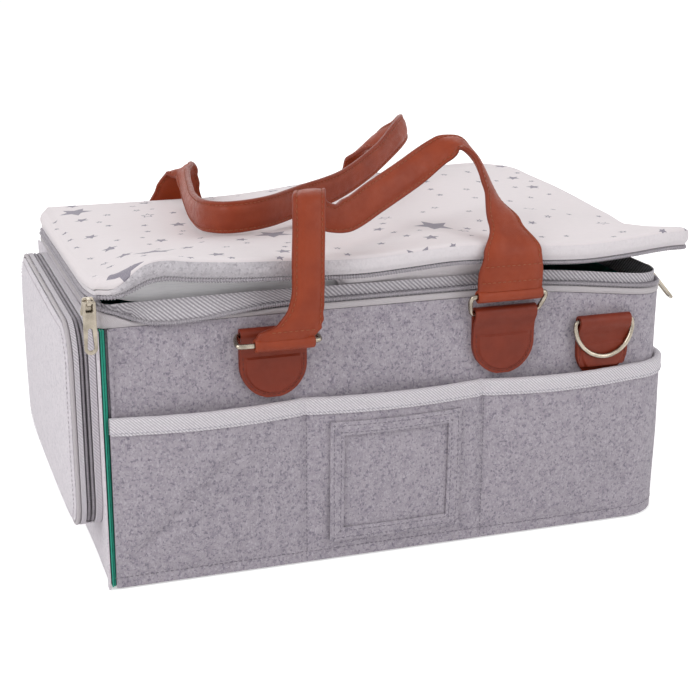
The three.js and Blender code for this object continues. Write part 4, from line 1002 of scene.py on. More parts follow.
rimSizes = {
    "strip": 4, "tape": 13.5, "wave": 0.8, "waveRun": 190, "coil": 1.6, "out": -0.5, "cornerRun": 5, "stitch": 7.2,
}
rimStart, rimEnd = -bagSizes["depth"] + bagSizes["felt"], backStart
coilHeight = bagSizes["wall"] + gap + rimSizes["strip"] + gap + rimSizes["coil"]
tapeOut = rimSizes["out"] - rimSizes["coil"] - 2 * gap


def rimWave(s):
    run = rimSizes["waveRun"]
    return rimSizes["wave"] * math.sin(math.pi * s / run) ** 2 if 0 < s < run else 0


def rimPoint(s, out, z):  # the tapes turn the sharp front left corner in a small round
    r = rimSizes["cornerRun"]
    if abs(s) >= r:
        return onWall(s, out, z)
    a = (s + r) / (2 * r) * math.pi / 2
    return (-halfLength - out + r - r * math.cos(a), -halfDepth - out + r - r * math.sin(a), z)


def rimRow(pick):
    r = float(rimSizes["cornerRun"])
    around = [*[-s for s in stations(r, -rimStart)[::-1]], *np.linspace(-r, r, 7)[1:-1], *stations(r, rimEnd)]
    return [rimPoint(s, *pick(s)) for s in around]


def makeRim():
    strip = rimSizes["strip"]
    rows = []
    for share, out in ((0, 0.1), (0.15, 0.35), (0.5, 0.45), (0.85, 0.3), (1.0, -0.4), (1.0, -1.4)):
        rows.append(rimRow(lambda s: (out, wallTop(s) + gap + share * (strip + max(liftAt(s), -1.2)))))
    made = addSheet("rimStrip", rows, 0.9, "smoothTape", soft=0.2, crease=60)
    settle(made, "caddy", "twill", "rim_strip")
    core = rimRow(lambda s: (rimSizes["out"] + droopAt(s), coilHeight + liftAt(s) - sagAt(s)))
    coil = makeZipCoil("rimCoil", core, rimSizes["coil"], 0.6, Pitch=1.5, Reach=1.57, Wire=0.42)
    settle(coil, "caddy", "zip_coil", "rim_coil")
    rows = []
    for share in np.linspace(0, 1, 9):
        def pick(s):
            top = wallTop(s) + gap + rimSizes["tape"] + rimWave(s)
            low = coilHeight + liftAt(s) - sagAt(s) + 0.6 if droopAt(s) else wallTop(s) + gap
            lean = 0.5 * ripple(s, 0, 0, 30, 3) * share
            return tapeOut + (1.35 * droopAt(s) + 0.4) * (1 - share) + lean - 0.3, low + (top - low) * share
        rows.append(rimRow(pick))
    made = addSheet("rimTape", rows, 0.9, "rimTwill", soft=0.25, crease=50)
    settle(made, "caddy", "twill", "rim_tape")

    def seam(s):
        return tapeOut + 0.4 + 0.6 * droopAt(s), wallTop(s) + gap + rimSizes["stitch"] + 0.5 * liftAt(s)

    sew("caddy", "darkThread", rimRow(seam))


# Lid: an edge that runs along the left side, up at the open front, out at the front right corner and back.
lidSizes = {
    "lip": 4.5, "foot": 8.2, "shoulder": 12.7, "hinge": 190, "backRise": 4, "billow": 9, "puff": 7, "cloth": 1.5,
    "zipEnd": 0.98, "tape": (1.9, 11.6), "tapeThick": 1.0, "innerTape": (-46, 68, 13), "facing": (14, 150, 17),
    "leastTape": 0.16, "smoothing": 60, "skirtBend": ((0, 0.129, 0.1785), (-0.0007, 0.129, 0.1915)),
}
lidCoil = coilHeight + 2 * rimSizes["coil"] + 2 * gap
sideCoil = halfLength + rimSizes["out"]
lip = -halfDepth - lidSizes["lip"]


def lidEdgePath():
    path = [
        (-sideCoil, halfDepth - 9, 0), (-sideCoil, 60, 0), (-sideCoil, -20, 0), (-sideCoil, -68, 0.3),
        (-sideCoil, -95, 3), (-sideCoil, -118, 6.6), (-sideCoil + 0.4, -130, 9.8), (-sideCoil + 10, lip, 9.6),
        (-170, lip, 13), (-160, lip, 17.4), (-149, lip, 18.2), (-135, lip, 16.4), (-112, lip, 14.4), (-80, lip, 12.8),
        (-30, lip, 10.6), (0, lip, 12), (30, lip - 1, 14), (60, lip - 0.5, 12.8), (95, lip, 9.6), (122, lip, 8.4),
        (150, lip, 9.8), (180, lip, 12.4), (195, -128.6, 11.6), (199.5, -118.5, 10), (198.5, -106, 7),
        (194.5, -97, 3.5), (190, -88.5, 0.5),
    ]
    path += [(sideCoil, y, up - sagAt(endStart + halfDepth - corner + y))
             for y, up in ((-72, 5), (-50, 4), (-20, 3), (10, 2), (40, 1), (70, 0))]
    path += [onWall(backCorner + k * cornerRun, rimSizes["out"], 0) for k in (0, 0.25, 0.5, 0.75, 0.97)]
    return bend([(x, y, z + lidCoil) for x, y, z in path], 900)


lidFine = lidEdgePath()


def outwardAlong(path):
    ahead = np.gradient(np.asarray(path), axis=0)
    out = np.stack([ahead[:, 1], -ahead[:, 0], 0 * ahead[:, 0]], 1)
    return out / np.linalg.norm(out, axis=1)[:, None]


def backEdge(x):
    return lidSizes["hinge"] - 1 + 11 * smooth(x, -70, 80) + lidSizes["backRise"] * smooth(x, 60, 150)


def nearestTo(path, point):
    return int(np.argmin(np.linalg.norm(np.asarray(path)[:, :2] - np.array(point), axis=1)))


lidCorners = [0, nearestTo(lidFine, (-187, -131)), nearestTo(lidFine, (199.5, -121)), len(lidFine) - 1]
lidSteps = {"side": 64, "front": 104}
sideSteps, frontSteps = lidSteps["side"], lidSteps["front"]


def lidEdge():  # the edge in even steps, and which way is outwards along it
    sides = [evenly(lidFine[a:b + 1], lidSteps[key] + 1)
             for a, b, key in zip(lidCorners, lidCorners[1:], ("side", "front", "side"))]
    edge = np.concatenate([sides[0][:-1], sides[1][:-1], sides[2]])
    return edge, outwardAlong(edge)


def stripShare(p):  # how much of the zip's tape shows below the cloth
    least = lidSizes["leastTape"]
    return least + (1 - least) * smooth(p[0], -186, -163)


def lidLoop(out, up, backInset, backUp):
    edge, normals = lidEdge()
    puff = lidSizes["puff"] * smooth(up, lidSizes["foot"], lidSizes["shoulder"])
    loop = []
    for p, n in zip(edge, normals):  # fuller along the right side, drawn down at the left
        full = puff * smooth(p[0], 180, 190) * smooth(p[1], -118, -46) * (1 - smooth(p[1], -20, 112))
        full -= 0.88 * max(lidSizes["shoulder"] - up, 0) * (1 - stripShare(p)) if up > 0 else 0
        loop.append(tuple(p + n * (out - 0.3 * max(full, 0)) + (0, 0, up + full)))
    first, last = halfLength - corner - 3, -sideCoil + 2.4
    for i in range(1, frontSteps):
        x = first + (last - first) * i / frontSteps
        loop.append((x, halfDepth - 0.4 - backInset, backEdge(x) + backUp))
    return loop


def lidTopField():
    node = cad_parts["lid_top"]
    verts = [v.co / mm for v in node.data.vertices]
    return BVHTree.FromPolygons(verts, [tuple(p.vertices) for p in node.data.polygons])


lidField = lidTopField()


def lidTopAt(x, y, fallback):
    hit = lidField.ray_cast(Vector((x, y, 400)), Vector((0, 0, -1)))
    return hit[0].z if hit[0] else fallback


lidFolds = [  # from, to, height, width: soft ridges of the slack cloth
    ((-175, -118), (-60, -20), 1.6, 14), ((-150, 90), (-40, 20), 1.8, 18), ((-60, -124), (-20, -40), 1.2, 16),
    ((40, -126), (10, -30), 1.5, 18), ((120, -120), (60, 10), 2.0, 22), ((195, -112), (90, -40), 2.4, 16),
    ((150, 100), (60, 20), 1.6, 20), ((-20, 118), (10, 40), 1.2, 16), ((80, 118), (50, 50), 1.2, 14),
    ((-185, -30), (-100, -10), 1.4, 18), ((180, 30), (100, 20), 1.4, 18),
]


def lidRipple(x, y):
    rise = 1.2 * ripple(x, y, 0, 95, 9) + 0.5 * ripple(x, y, 0, 38, 2)
    for start, end, high, wide in lidFolds:
        along, off, length = alongLine(x, y, start, end)
        fade = smooth(along, -10, 25) * (1 - smooth(along, length * 0.4, length + 12))
        rise += 0.6 * high * fade * math.exp(-(off / wide) ** 2)
    return rise


def lidRimIndex(total, base):  # the rim's points on the top's grid: i from left to right, j from back to front
    index = {}
    for j in range(sideSteps + 1):
        index[0, j] = base + j
        index[frontSteps, sideSteps - j] = base + sideSteps + frontSteps + j
    for i in range(frontSteps + 1):
        index[i, sideSteps] = base + sideSteps + i
        index[frontSteps - i, 0] = base + (2 * sideSteps + frontSteps + i) % total
    return index


def lidGrid(rim, drop):  # a surface drawn between the rim's four sides, and the solid's height above it
    turns = np.cumsum([0, sideSteps, frontSteps, sideSteps, frontSteps])
    left, front, right, back = (np.append(rim, rim[:1], axis=0)[a:b + 1] for a, b in zip(turns, turns[1:]))
    corners = (left[0], front[0], front[-1], right[-1])
    grid, lean = np.zeros((frontSteps + 1, sideSteps + 1, 3)), np.zeros((frontSteps + 1, sideSteps + 1))
    for i in range(1, frontSteps):
        u = i / frontSteps
        for j in range(1, sideSteps):
            v = j / sideSteps
            p = (1 - u) * left[j] + u * right[sideSteps - j] + (1 - v) * back[frontSteps - i] + v * front[i]
            shares = ((1 - u) * (1 - v), (1 - u) * v, u * v, u * (1 - v))
            p = p - sum(share * spot for share, spot in zip(shares, corners))
            grid[i, j] = p
            lean[i, j] = lidTopAt(p[0], p[1], p[2] + drop) - drop - p[2]
    for _ in range(lidSizes["smoothing"]):  # the solid's facets are drawn out smooth
        lean[1:-1, 1:-1] = (lean[:-2, 1:-1] + lean[2:, 1:-1] + lean[1:-1, :-2] + lean[1:-1, 2:]) / 4
    return grid, lean


def lidFlat(verts, loops):  # flat places of every point: the top as it lies, the skirt folded out
    rim, total = loops[-1], len(loops[-1])
    flat = np.array(verts)[:, :2].copy()
    ahead = np.roll(rim, -3, axis=0)[:, :2] - np.roll(rim, 3, axis=0)[:, :2]
    normals = np.stack([ahead[:, 1], -ahead[:, 0]], 1) / np.linalg.norm(ahead, axis=1)[:, None]
    for k in range(len(loops) - 1):
        fall = sum(np.linalg.norm(b - a, axis=1) for a, b in zip(loops[k:], loops[k + 1:]))
        flat[k * total:(k + 1) * total] = rim[:, :2] + normals * fall[:, None]
    return flat


def lidSurface(drop, ripples, skirt):
    loops = [np.array(lidLoop(*row)) for row in skirt]
    total = len(loops[-1])
    verts = [tuple(p) for loop in loops for p in loop]
    faces = gridFaces(len(loops), total, True)[0]
    index = lidRimIndex(total, len(verts) - total)
    grid, lean = lidGrid(loops[-1], drop)
    for i in range(1, frontSteps):
        for j in range(1, sideSteps):
            x, y, z = grid[i, j]
            inside = min(i, frontSteps - i, j, sideSteps - j)
            billow = lidSizes["billow"] * (1 - math.exp(-(frontSteps - i) / 3.4)) * smooth(x, 40, 170)
            billow *= smooth(j, 0, 12) * smooth(sideSteps - j, 0, 22)
            index[i, j] = len(verts)
            verts.append((x, y, z + lean[i, j] + billow + ripples * lidRipple(x, y) * smooth(inside, 0, 7)))
    for i in range(frontSteps):
        for j in range(sideSteps):
            faces.append((index[i, j], index[i, j + 1], index[i + 1, j + 1], index[i + 1, j]))
    flat = lidFlat(verts, loops)
    return verts, faces, [flat[v] for face in faces for v in face]


def makeLidCloth(name, finish, thick, skirt, drop=0.0, ripples=1.0):
    verts, faces, corners = lidSurface(drop, ripples, skirt)
    made = addObject(name, verts, faces, corners, finish, (0, 0, 60))
    thicken(made, thick, False)
    return bake(made, 70)


def zipEdge(out, up):
    edge, normals = lidEdge()
    return (edge + normals * out + (0, 0, up))[:int(len(edge) * lidSizes["zipEnd"])]


def makeLid():
    foot, shoulder, thick = lidSizes["foot"], lidSizes["shoulder"], lidSizes["cloth"]
    skirt = (  # out and up at the zip's edge, in and up at the back
        (0.6, foot, 0, -2.2), (1.15, foot + 0.8, -0.2, -1.7), (1.1, foot + 2.0, -0.2, -1.2),
        (0.4, shoulder - 1.2, 0.2, -0.6), (-0.9, shoulder - 0.25, 1.2, -0.15), (-2.4, shoulder, 2.4, 0),
        (-4.2, shoulder, 4, 0),
    )
    top = makeLidCloth("lidCloth", "star_fabric", thick, skirt)
    settle(top, "lid", "star_fabric", "lid_top")
    under = ((-4.4, shoulder - 3.4, 4.6, -3.2), (-5.5, shoulder - 3.2, 5.6, -3.1))
    inside = makeLidCloth("lidInnerCloth", "white_lining", 0.8, under, drop=2.8, ripples=0.85)
    settle(inside, "lid", "white_lining", "lid_lining")

    coil = makeZipCoil("lidCoil", zipEdge(0, 0), rimSizes["coil"], 0.55, Pitch=1.75, Reach=1.58, Wire=0.45)
    settle(coil, "lid", "zip_coil", "lid_coil")
    makeLidTapes()
    makeFacing()
    makeBackSkirt()


def makeLidTapes():
    low, high = lidSizes["tape"]
    edge = zipEdge(0, 0)
    normals = outwardAlong(edge)
    rows = []
    for share in np.linspace(0, 1, 9):
        bulge = 0.5 + 2.1 * math.sin(math.pi * min(0.15 + share * 0.62, 1)) * smooth(share, 0, 0.35)
        row = []
        for p, n in zip(edge, normals):
            dent = 0.35 * ripple(*p, 11, 3) * math.sin(math.pi * share)
            shown, least = stripShare(p), lidSizes["leastTape"]
            part = smooth(shown, least, 0.6)
            tall = (high - low) * (least + (1 - least) * shown)
            row.append(tuple(p + n * (0.2 + (bulge + dent - 0.2) * part) + (0, 0, low - 0.4 + tall * share)))
        rows.append(row)
    tapes = [addSheet("tape", rows, lidSizes["tapeThick"], "stripFelt", soft=0.3, crease=50)]
    first, last, deep = lidSizes["innerTape"]
    edge = zipEdge(-2.9, -0.6)
    edge = edge[(np.abs(edge[:, 1] - lip - 2.9) < 2.5) & (edge[:, 0] > first) & (edge[:, 0] < last)]
    falls = [deep * smooth(x, first, first + 10) * (1 - 0.75 * smooth(x, last - 12, last)) for x in edge[:, 0]]
    rows = []
    for share in np.linspace(0, 1, 7):  # the tape's inner half hangs below the teeth
        inwards = 7.5 * smooth(share, 0, 0.6)
        rows.append([(x, y + inwards, z - fall * share) for (x, y, z), fall in zip(edge, falls)])
    tapes.append(addSheet("inner", rows, 0.8, "smoothTape", soft=0.2, away=(0, 0, 180)))
    settle(joinPieces("lidEdgeTape", tapes), "lid", "twill", "lid_edge_tape")


def makeFacing():
    start, length, height = lidSizes["facing"]
    first, last = -halfLength + start, -halfLength + start + length
    edge = zipEdge(0, 0)
    edge = edge[np.abs(edge[:, 1] - lip) < 2.5]
    hem = facingHem()
    rows = []
    for share in np.linspace(0, 1, 9):
        row = []
        for x in np.linspace(first - 10, last - 1, 50):
            top = np.interp(x, edge[:, 0], edge[:, 2]) + 1.2
            y = np.interp(x, *hem)
            sway = 0.5 * ripple(x, 0, share * 17, 22, 8) * share
            fall = 3.2 + (height - 3.2) * smooth(x, first - 10, first + 20)
            row.append((x, y + sway, top - fall * share))
        rows.append(row)
    made = addSheet("lidFacing", rows, 0.8, "white_lining", soft=0.2, away=(-100, 0, 185))
    settle(made, "lid", "white_lining", "lid_facing")


def facingHem():  # the solid's own front face, read along its length
    lines = {}
    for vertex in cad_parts["lid_facing"].data.vertices:
        lines.setdefault(round(vertex.co.x / mm, 1), []).append(vertex.co.y / mm)
    xs = sorted(lines)
    return xs, [min(lines[x]) for x in xs]


def makeBackSkirt():
    low, back = bagSizes["wall"] + gap, halfDepth - 1.1
    turned = [(-halfLength + a, back - b, lidCoil + 9.4 + rise)
              for a, b, rise in ((2.4, 10.4, 0), (2.4, 7, 0), (2.4, 3.4, 0.4), (3, 1, 1.6), (4.6, 0, 2.4))]
    path = turned + [(x, back, backEdge(x) - 3) for x in np.linspace(-halfLength + 8, halfLength - corner + 2, 90)]
    rows = []
    for share in np.linspace(0, 1, 10):
        row = []
        for x, y, top in path:
            sway = 0.5 * ripple(x, share * 30, 0, 26, 3) * math.sin(math.pi * share)
            row.append((x, y + sway, low + (top - low) * share))
        rows.append(row)
    made = addSheet("backSkirt", rows, 1.6, "star_fabric", soft=0.3, away=(0, 0, 180))
    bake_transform(made)
    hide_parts("back_skirt")


# Leather tabs, wire rings
tabSizes = {
    "thick": 2.0, "wire": 1.6, "play": 0.5, "tongueTop": 111, "tongue": 1.3, "panel": 3.4, "raised": 1.1, "seam": 1.9,
}
loopHole = tabSizes["wire"] + tabSizes["play"]
loopReach = loopHole + tabSizes["thick"]
pivotOut = gap + loopReach
handleTab, shoulderTab = (42, 154, 113), (36.5, 142, 103)  # width, pivot height, lowest point
tabs = {  # x, rear, its sizes
    "front_left_tab": (-86, False, *handleTab), "front_right_tab": (66, False, *handleTab),
    "rear_left_tab": (-86, True, *handleTab), "rear_right_tab": (66, True, *handleTab),
    "front_shoulder_tab": (137, False, *shoulderTab), "rear_shoulder_tab": (-137, True, *shoulderTab),
}


def onFace(x, rear, a, out, z):
    return (x - a, halfDepth + out, z) if rear else (x + a, -halfDepth - out, z)


def camel(name):
    first, *rest = name.split("_")
    return first + "".join(word.capitalize() for word in rest)


def makeTab(name, x, rear, width, pivot, bottom):
    thick, half, lowest = tabSizes["thick"], width / 2, tabSizes["tongueTop"]
    shallow = bottom < lowest  # the shoulder tab goes on down behind the pocket's edge

    def reach(z, inset=0.0):  # half the width at a height: a round foot
        low, r = bottom + inset, half - inset
        return r if z >= low + r else math.sqrt(max(r * r - (low + r - z) ** 2, 0.0))

    foot = [bottom + (1 - math.cos(a)) * half for a in np.linspace(0.03, math.pi / 2, 12)]
    tongue = tabSizes["tongue"] if shallow else thick
    rows = []
    for z in (*foot, *np.linspace(foot[-1] + 2, pivot - 2, 8)):
        out, w = gap + (tongue if z < lowest else thick), max(reach(z), 0.6)
        rows.append([onFace(x, rear, k * w, out - 0.35 * k ** 4, z) for k in np.linspace(-1, 1, 25)])
    behind, inside = onFace(x, rear, 0, -400, pivot), onFace(x, rear, 0, pivotOut - 2, pivot)
    # the tab is drawn in the darker copy of the leather: painted shade
    pieces = [addSheet("back", rows, tongue, "tabLeather", soft=0.5, away=behind)]

    front = gap + 2 * thick
    turns = [(math.cos(a), math.sin(a)) for a in np.linspace(0, math.pi, 15)]
    path = [(pivotOut - loopReach * c, pivot + loopReach * s) for c, s in turns]
    path += [(pivotOut + loopReach - 0.7, pivot - 3.5), (front + 1.2, pivot - 7), (front + 0.35, pivot - 10)]
    feet = [pivot - 13, pivot - 14.3, pivot - 15.6]
    if shallow:
        feet += [*np.linspace(pivot - 17, lowest + 0.4, 8)]
    else:
        feet += [*np.linspace(pivot - 18, bottom + half - 1, 4)]
        feet += [bottom + 0.4 + (1 - math.cos(a)) * (half - 1) for a in np.linspace(math.pi / 2 - 0.06, 0.03, 30)]
    rows = []
    for out, z in [*path, *[(front, z) for z in feet]]:
        w, inset = max(reach(z), 0.5), tabSizes["panel"]
        edge = reach(z, inset) if z > bottom + inset else -1
        row = []
        for k in np.linspace(-1, 1, 65):  # a raised panel inside the stitched rim
            raised = tabSizes["raised"] * (1 - smooth(abs(k * w), edge - 0.5, edge + 0.5))
            row.append(onFace(x, rear, k * w, out + raised * smooth(pivot - z, 14.5, 15.5), z))
        rows.append(row)
    pieces.append(addSheet("front", rows, thick - 0.05, "tabLeather", soft=0.5, away=inside))
    settle(joinPieces(camel(name), pieces), "caddy", "leather", name)

    r = half - tabSizes["seam"]
    if shallow:
        seams = [[(side, z) for z in np.linspace(pivot - 15, lowest + 2, 8)] for side in (-r, r)]
    else:
        turns = np.linspace(-math.pi / 2, math.pi / 2, 30)
        foot = [(r * math.sin(a), bottom + half - r * math.cos(a)) for a in turns]
        seams = [[(-r, pivot - 15), *foot, (r, pivot - 15)]]
    for line in seams:
        sew("caddy", "redThread", [onFace(x, rear, a, front + 0.02, z) for a, z in line])


ringSizes = {"reach": 14, "tilt": 26, "leftTilt": 103, "shoulder": 20.6, "shoulderTilt": 7}


def handleRingHalf():
    side, reach = handleTab[0] / 2 + gap + tabSizes["wire"] + 0.6, ringSizes["reach"]
    return [(0.35, 0), (10, 0), (side - 3, 0), (side - 0.5, 1.2), (side + 1, 5), (side + 2, 10),
            (side + 1.4, reach - 0.8), (side - 2, reach), (10, reach)]


def shoulderRingHalf():
    r = ringSizes["shoulder"]
    turns = [math.radians(a) for a in (-8, -25, -42, -60, -76)]
    return [(0.35, 0), (10, 0), (r - 3, 0), (r - 0.6, -1), *[(r * math.cos(a), -3 + r * math.sin(a)) for a in turns],
            (1.5, -3 - r)]


def makeRing(name, x, rear, pivot, half, tilt, body):
    line = [*half, *[(-u, v) for u, v in half[::-1]]]
    out, up = math.sin(math.radians(tilt)), math.cos(math.radians(tilt))
    fine = bend([(u, 0, v) for u, v in line], 110, 0.35)
    path = [onFace(x, rear, u, pivotOut + v * out, pivot + v * up) for u, _, v in fine]
    made = addSkin(camel(name), tubeRings(path, tabSizes["wire"] - 0.02, 14, True), "nickel", joined=True, crease=80)
    settle(made, body, "nickel", name)


def makeHardware():
    for name, values in tabs.items():
        makeTab(name, *values)
    tilt, left, shoulder = ringSizes["tilt"], ringSizes["leftTilt"], -ringSizes["shoulderTilt"]
    rings = {
        "front_left": (left, "front_left_ring"), "front_right": (tilt, "front_handle"),
        "rear_left": (tilt, "rear_handle"), "rear_right": (tilt, "rear_handle"),
        "front_shoulder": (shoulder, "front_shoulder_ring"), "rear_shoulder": (shoulder, "rear_shoulder_ring"),
    }
    for name, (lean, body) in rings.items():
        x, rear, _, pivot, _ = tabs[name + "_tab"]
        half = shoulderRingHalf() if "shoulder" in name else handleRingHalf()
        makeRing(name + "_ring", x, rear, pivot, half, lean, body + "_body")


# Handles: padded leather straps that widen where they fold round their rings.
strapSizes = {"width": 21, "thick": 5, "end": 44, "leftFold": 37, "shift": 3, "stitch": 2.3, "steps": 200}
alongX, upright = (1, 0, 0), (0, 0, 1)


def ringTop(name, tilt, shift=0):
    x, rear, _, pivot, _ = tabs[name]
    turn, reach = math.radians(tilt), ringSizes["reach"]
    return np.array(onFace(x + shift, rear, 0, pivotOut + reach * math.sin(turn), pivot + reach * math.cos(turn)))


def frontStations():
    left = ringTop("front_left_tab", ringSizes["leftTilt"], strapSizes["shift"])
    right = ringTop("front_right_tab", ringSizes["tilt"])
    w, t, wide, lip = strapSizes["width"], strapSizes["thick"], strapSizes["end"], loopReach - 0.7
    return left, right, [  # middle, which way is across, width, thickness
        (left + (0, -0.8, lip), alongX, strapSizes["leftFold"], t), (left + (3, -1.8, 7.5), alongX, wide - 6, t),
        (left + (9, -2.5, 12), alongX, wide - 16, t), ((-70.5, -149, 171), alongX, w + 1, t),
        ((-69, -149, 182), alongX, w - 1, t + 1), ((-68.5, -148, 200), alongX, w - 1, t + 2),
        ((-67.5, -146.5, 220), alongX, w - 1, t + 1), ((-66, -142, 235), alongX, w - 1, t),
        ((-62, -133, 237.5), alongX, w - 3, t), ((-57, -126, 227), (1, 0, 0.5), w - 5, t),
        ((-46, -120, 219), (0.8, 0, 1), w - 3, t), ((-32, -114, 219), (-0.1, 0.2, 1), w, t),
        ((-10, -100, 226), (-0.3, 0.3, 1), w, t), ((19, -87, 238), (-0.4, 0.3, 1), w, t + 1),
        ((42, -80, 250), (-0.3, 0.6, 0.9), w - 2, t), ((54, -79, 253.5), (0.2, 1, 0.4), w - 3, t),
        ((63, -86, 245), (0.35, 1, -0.1), w - 3, t), ((67, -103, 226), (0.6, 0.75, -0.2), w - 3, t),
        ((67.5, -125.5, 209.5), (1, 0.3, 0), w + 4, t), ((67, -139.5, 194), alongX, wide - 5, t),
        (right + (0, -1.2, 13), alongX, wide, t), (right + (0, -0.6, lip), alongX, wide, t),
    ]


def rearStations():
    left = ringTop("rear_left_tab", ringSizes["tilt"])
    right = ringTop("rear_right_tab", ringSizes["tilt"])
    w, t, wide, lip = strapSizes["width"], strapSizes["thick"], strapSizes["end"], loopReach - 0.7
    return left, right, [
        (left + (0, 0.6, lip), alongX, wide, t), (left + (0, 1, 14), alongX, wide, t),
        ((-84, 137, 196), alongX, wide - 10, t), ((-82, 130, 208), alongX, w + 4, t),
        ((-83, 117, 212), (0.8, 0, 0.8), w - 4, t), ((-88, 92, 208), (0.2, 0, 1), w - 1, t + 1),
        ((-95, 50, 205.5), (0.1, 0, 1), w, t + 1), ((-101, 5, 205), upright, w, t + 1),
        ((-101, -30, 206.6), upright, w, t + 1), ((-90, -46, 208), upright, w, t + 1),
        ((-66, -40, 208.4), upright, w, t), ((-34, -14, 209.5), upright, w, t), ((6, 14, 214), (0, -0.2, 1), w, t),
        ((42, 40, 227), (-0.2, -0.3, 1), w, t), ((66, 61, 240), (-0.4, -0.2, 1), w, t),
        ((76, 78, 243), (-0.2, 0.2, 1), w - 3, t), ((73, 98, 235), (0.3, 0.6, 0.9), w - 3, t),
        ((64, 122, 224), (0.8, 0.4, 0.5), w, t), ((62, 138, 208), (1, 0.2, 0), w + 6, t),
        (right + (-1, 1.2, 16), alongX, wide - 3, t), (right + (0, 0.6, lip), alongX, wide, t),
    ]


def strapFrames(stops):  # places along a strap with the way across it, its normal, width and thickness
    last = len(stops) - 1
    shares = np.linspace(0, 1, strapSizes["steps"] + 1)
    line = bend([s[0] for s in stops], shares)
    ahead = np.gradient(line, axis=0)
    made = []
    for i, share in enumerate(shares):
        at = share * last
        k = min(int(at), last - 1)
        mix = smooth(at - k, 0, 1)
        way = ahead[i] / np.linalg.norm(ahead[i])
        across = np.array(stops[k][1], float) * (1 - mix) + np.array(stops[k + 1][1], float) * mix
        square = smooth(min(at, last - at), 2, 4)
        across = across - way * across.dot(way) * square
        across /= np.linalg.norm(across)
        normal = np.cross(way, across)
        normal /= np.linalg.norm(normal)
        width = stops[k][2] * (1 - mix) + stops[k + 1][2] * mix
        thick = stops[k][3] * (1 - mix) + stops[k + 1][3] * mix
        made.append((line[i], across, normal, width, thick))
    return made


def strapProfile(width, thick):  # padded in the middle, pressed thin along the stitched edges
    half, stitch = width / 2, strapSizes["stitch"]
    outer = [0.2, 0.4, 0.6, 0.76, 0.84, 0.9, 0.95, 0.985, 1]
    places = [*[-k for k in outer[::-1]], 0, *outer]
    edge, made = [], []
    for sign in (1, -1):
        for k in places if sign > 0 else places[::-1]:
            a = k * half
            inner = half - abs(a)
            body = 0.5 * thick * (0.62 + 0.38 * smooth(inner, stitch, stitch + 4.5))
            groove = 0.28 * math.exp(-((inner - stitch) / 0.8) ** 2)
            rim = 0.5 * thick * 0.62 * (1 - math.sqrt(max(1 - (1 - min(inner / 1.1, 1)) ** 2, 0)))
            made.append((a, sign * max(body - groove - rim, 0.12)))
            edge.append(1 - smooth(inner, 0, 1.4))
    return made, edge


def makeStrap(name, left, right, stops, leftFold):
    frames = strapFrames(stops)
    rings, worn = [], []
    for spot, across, normal, width, thick in frames:
        profile, edge = strapProfile(width, thick)
        crease = 0.125 * ripple(*spot, 16, 2.0)
        rings.append([spot + across * a + normal * (n + crease * np.sign(n)) for a, n in profile])
        worn.append(edge)
    strap = addSkin("strap", rings, "leather", crease=75, edge=worn)
    folds = []
    for centre, width in ((left, leftFold), (right, strapSizes["end"])):
        half = width / 2
        side = [(half - 0.6, loopReach), (half, loopReach - 0.6), (half, loopHole + 0.5), (half - 0.5, loopHole)]
        shape = [*[(-a, r) for a, r in side[::-1]],
                 *[(a, loopReach + 0.05) for a in np.linspace(-half + 3, half - 3, 9)], *side]
        ring = [[centre + (a, r * math.cos(t), r * math.sin(t)) for a, r in shape]
                for t in np.linspace(0, 2 * math.pi, 29)[:-1]]
        folds.append(addSkin("fold", ring, "leather", joined=True, edge=[[0.0] * len(shape)] * len(ring)))
    return joinPieces(name, [strap, *folds]), frames


def strapSeams(frames, first, last):
    stitch = strapSizes["stitch"]
    return [[spot + across * side * (width / 2 - stitch) + normal * face * (thick * 0.31 + 0.05)
             for spot, across, normal, width, thick in frames[first:last]]
            for side in (1, -1) for face in (1, -1)]


def crossRow(frames, at, inset=3.0):
    spot, across, normal, width, thick = frames[at]
    return [[spot + across * a + normal * face * (thick * 0.5 + 0.12)
             for a in np.linspace(-width / 2 + inset, width / 2 - inset, 12)] for face in (1, -1)]


handleStitch = {"Pitch": 3.4, "Length": 2.4, "Radius": 0.3}


def makeHandles():
    strap, frames = makeStrap("frontHandle", *frontStations(), strapSizes["leftFold"])
    rows = crossRow(frames, 186) + crossRow(frames, 194) + crossRow(frames, 12, 6.0) + strapSeams(frames, 20, 184)
    seams = layRuns("frontHandleThread", rows, "thread", "tanThread", **handleStitch)
    for piece in (strap, seams):
        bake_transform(piece)
    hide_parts("front_handle")

    strap, frames = makeStrap("rearHandle", *rearStations(), strapSizes["end"])
    rows = [row for at in (6, 14, 186, 194) for row in crossRow(frames, at)] + strapSeams(frames, 18, 182)
    seams = layRuns("rearHandleThread", rows, "thread", "tanThread", **handleStitch)
    for piece in (strap, seams):
        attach(piece, "rear_handle_body")
        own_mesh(piece)
    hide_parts("rear_handle")


# Zip sliders and pulls
sliderSizes = {
    "width": 9.4, "height": 11, "plate": 2, "lug": 3.8, "drop": 3, "pull": 7.8, "pullThick": 1.6,
    "lengths": {"left": 31, "right": 31, "end": 27}, "leftX": -195.5, "rightY": -82, "endSpot": (-197.15, 119.4, 52),
    "rightLean": 41,
}
plateBack = sliderSizes["lug"] + sliderSizes["plate"] / 2


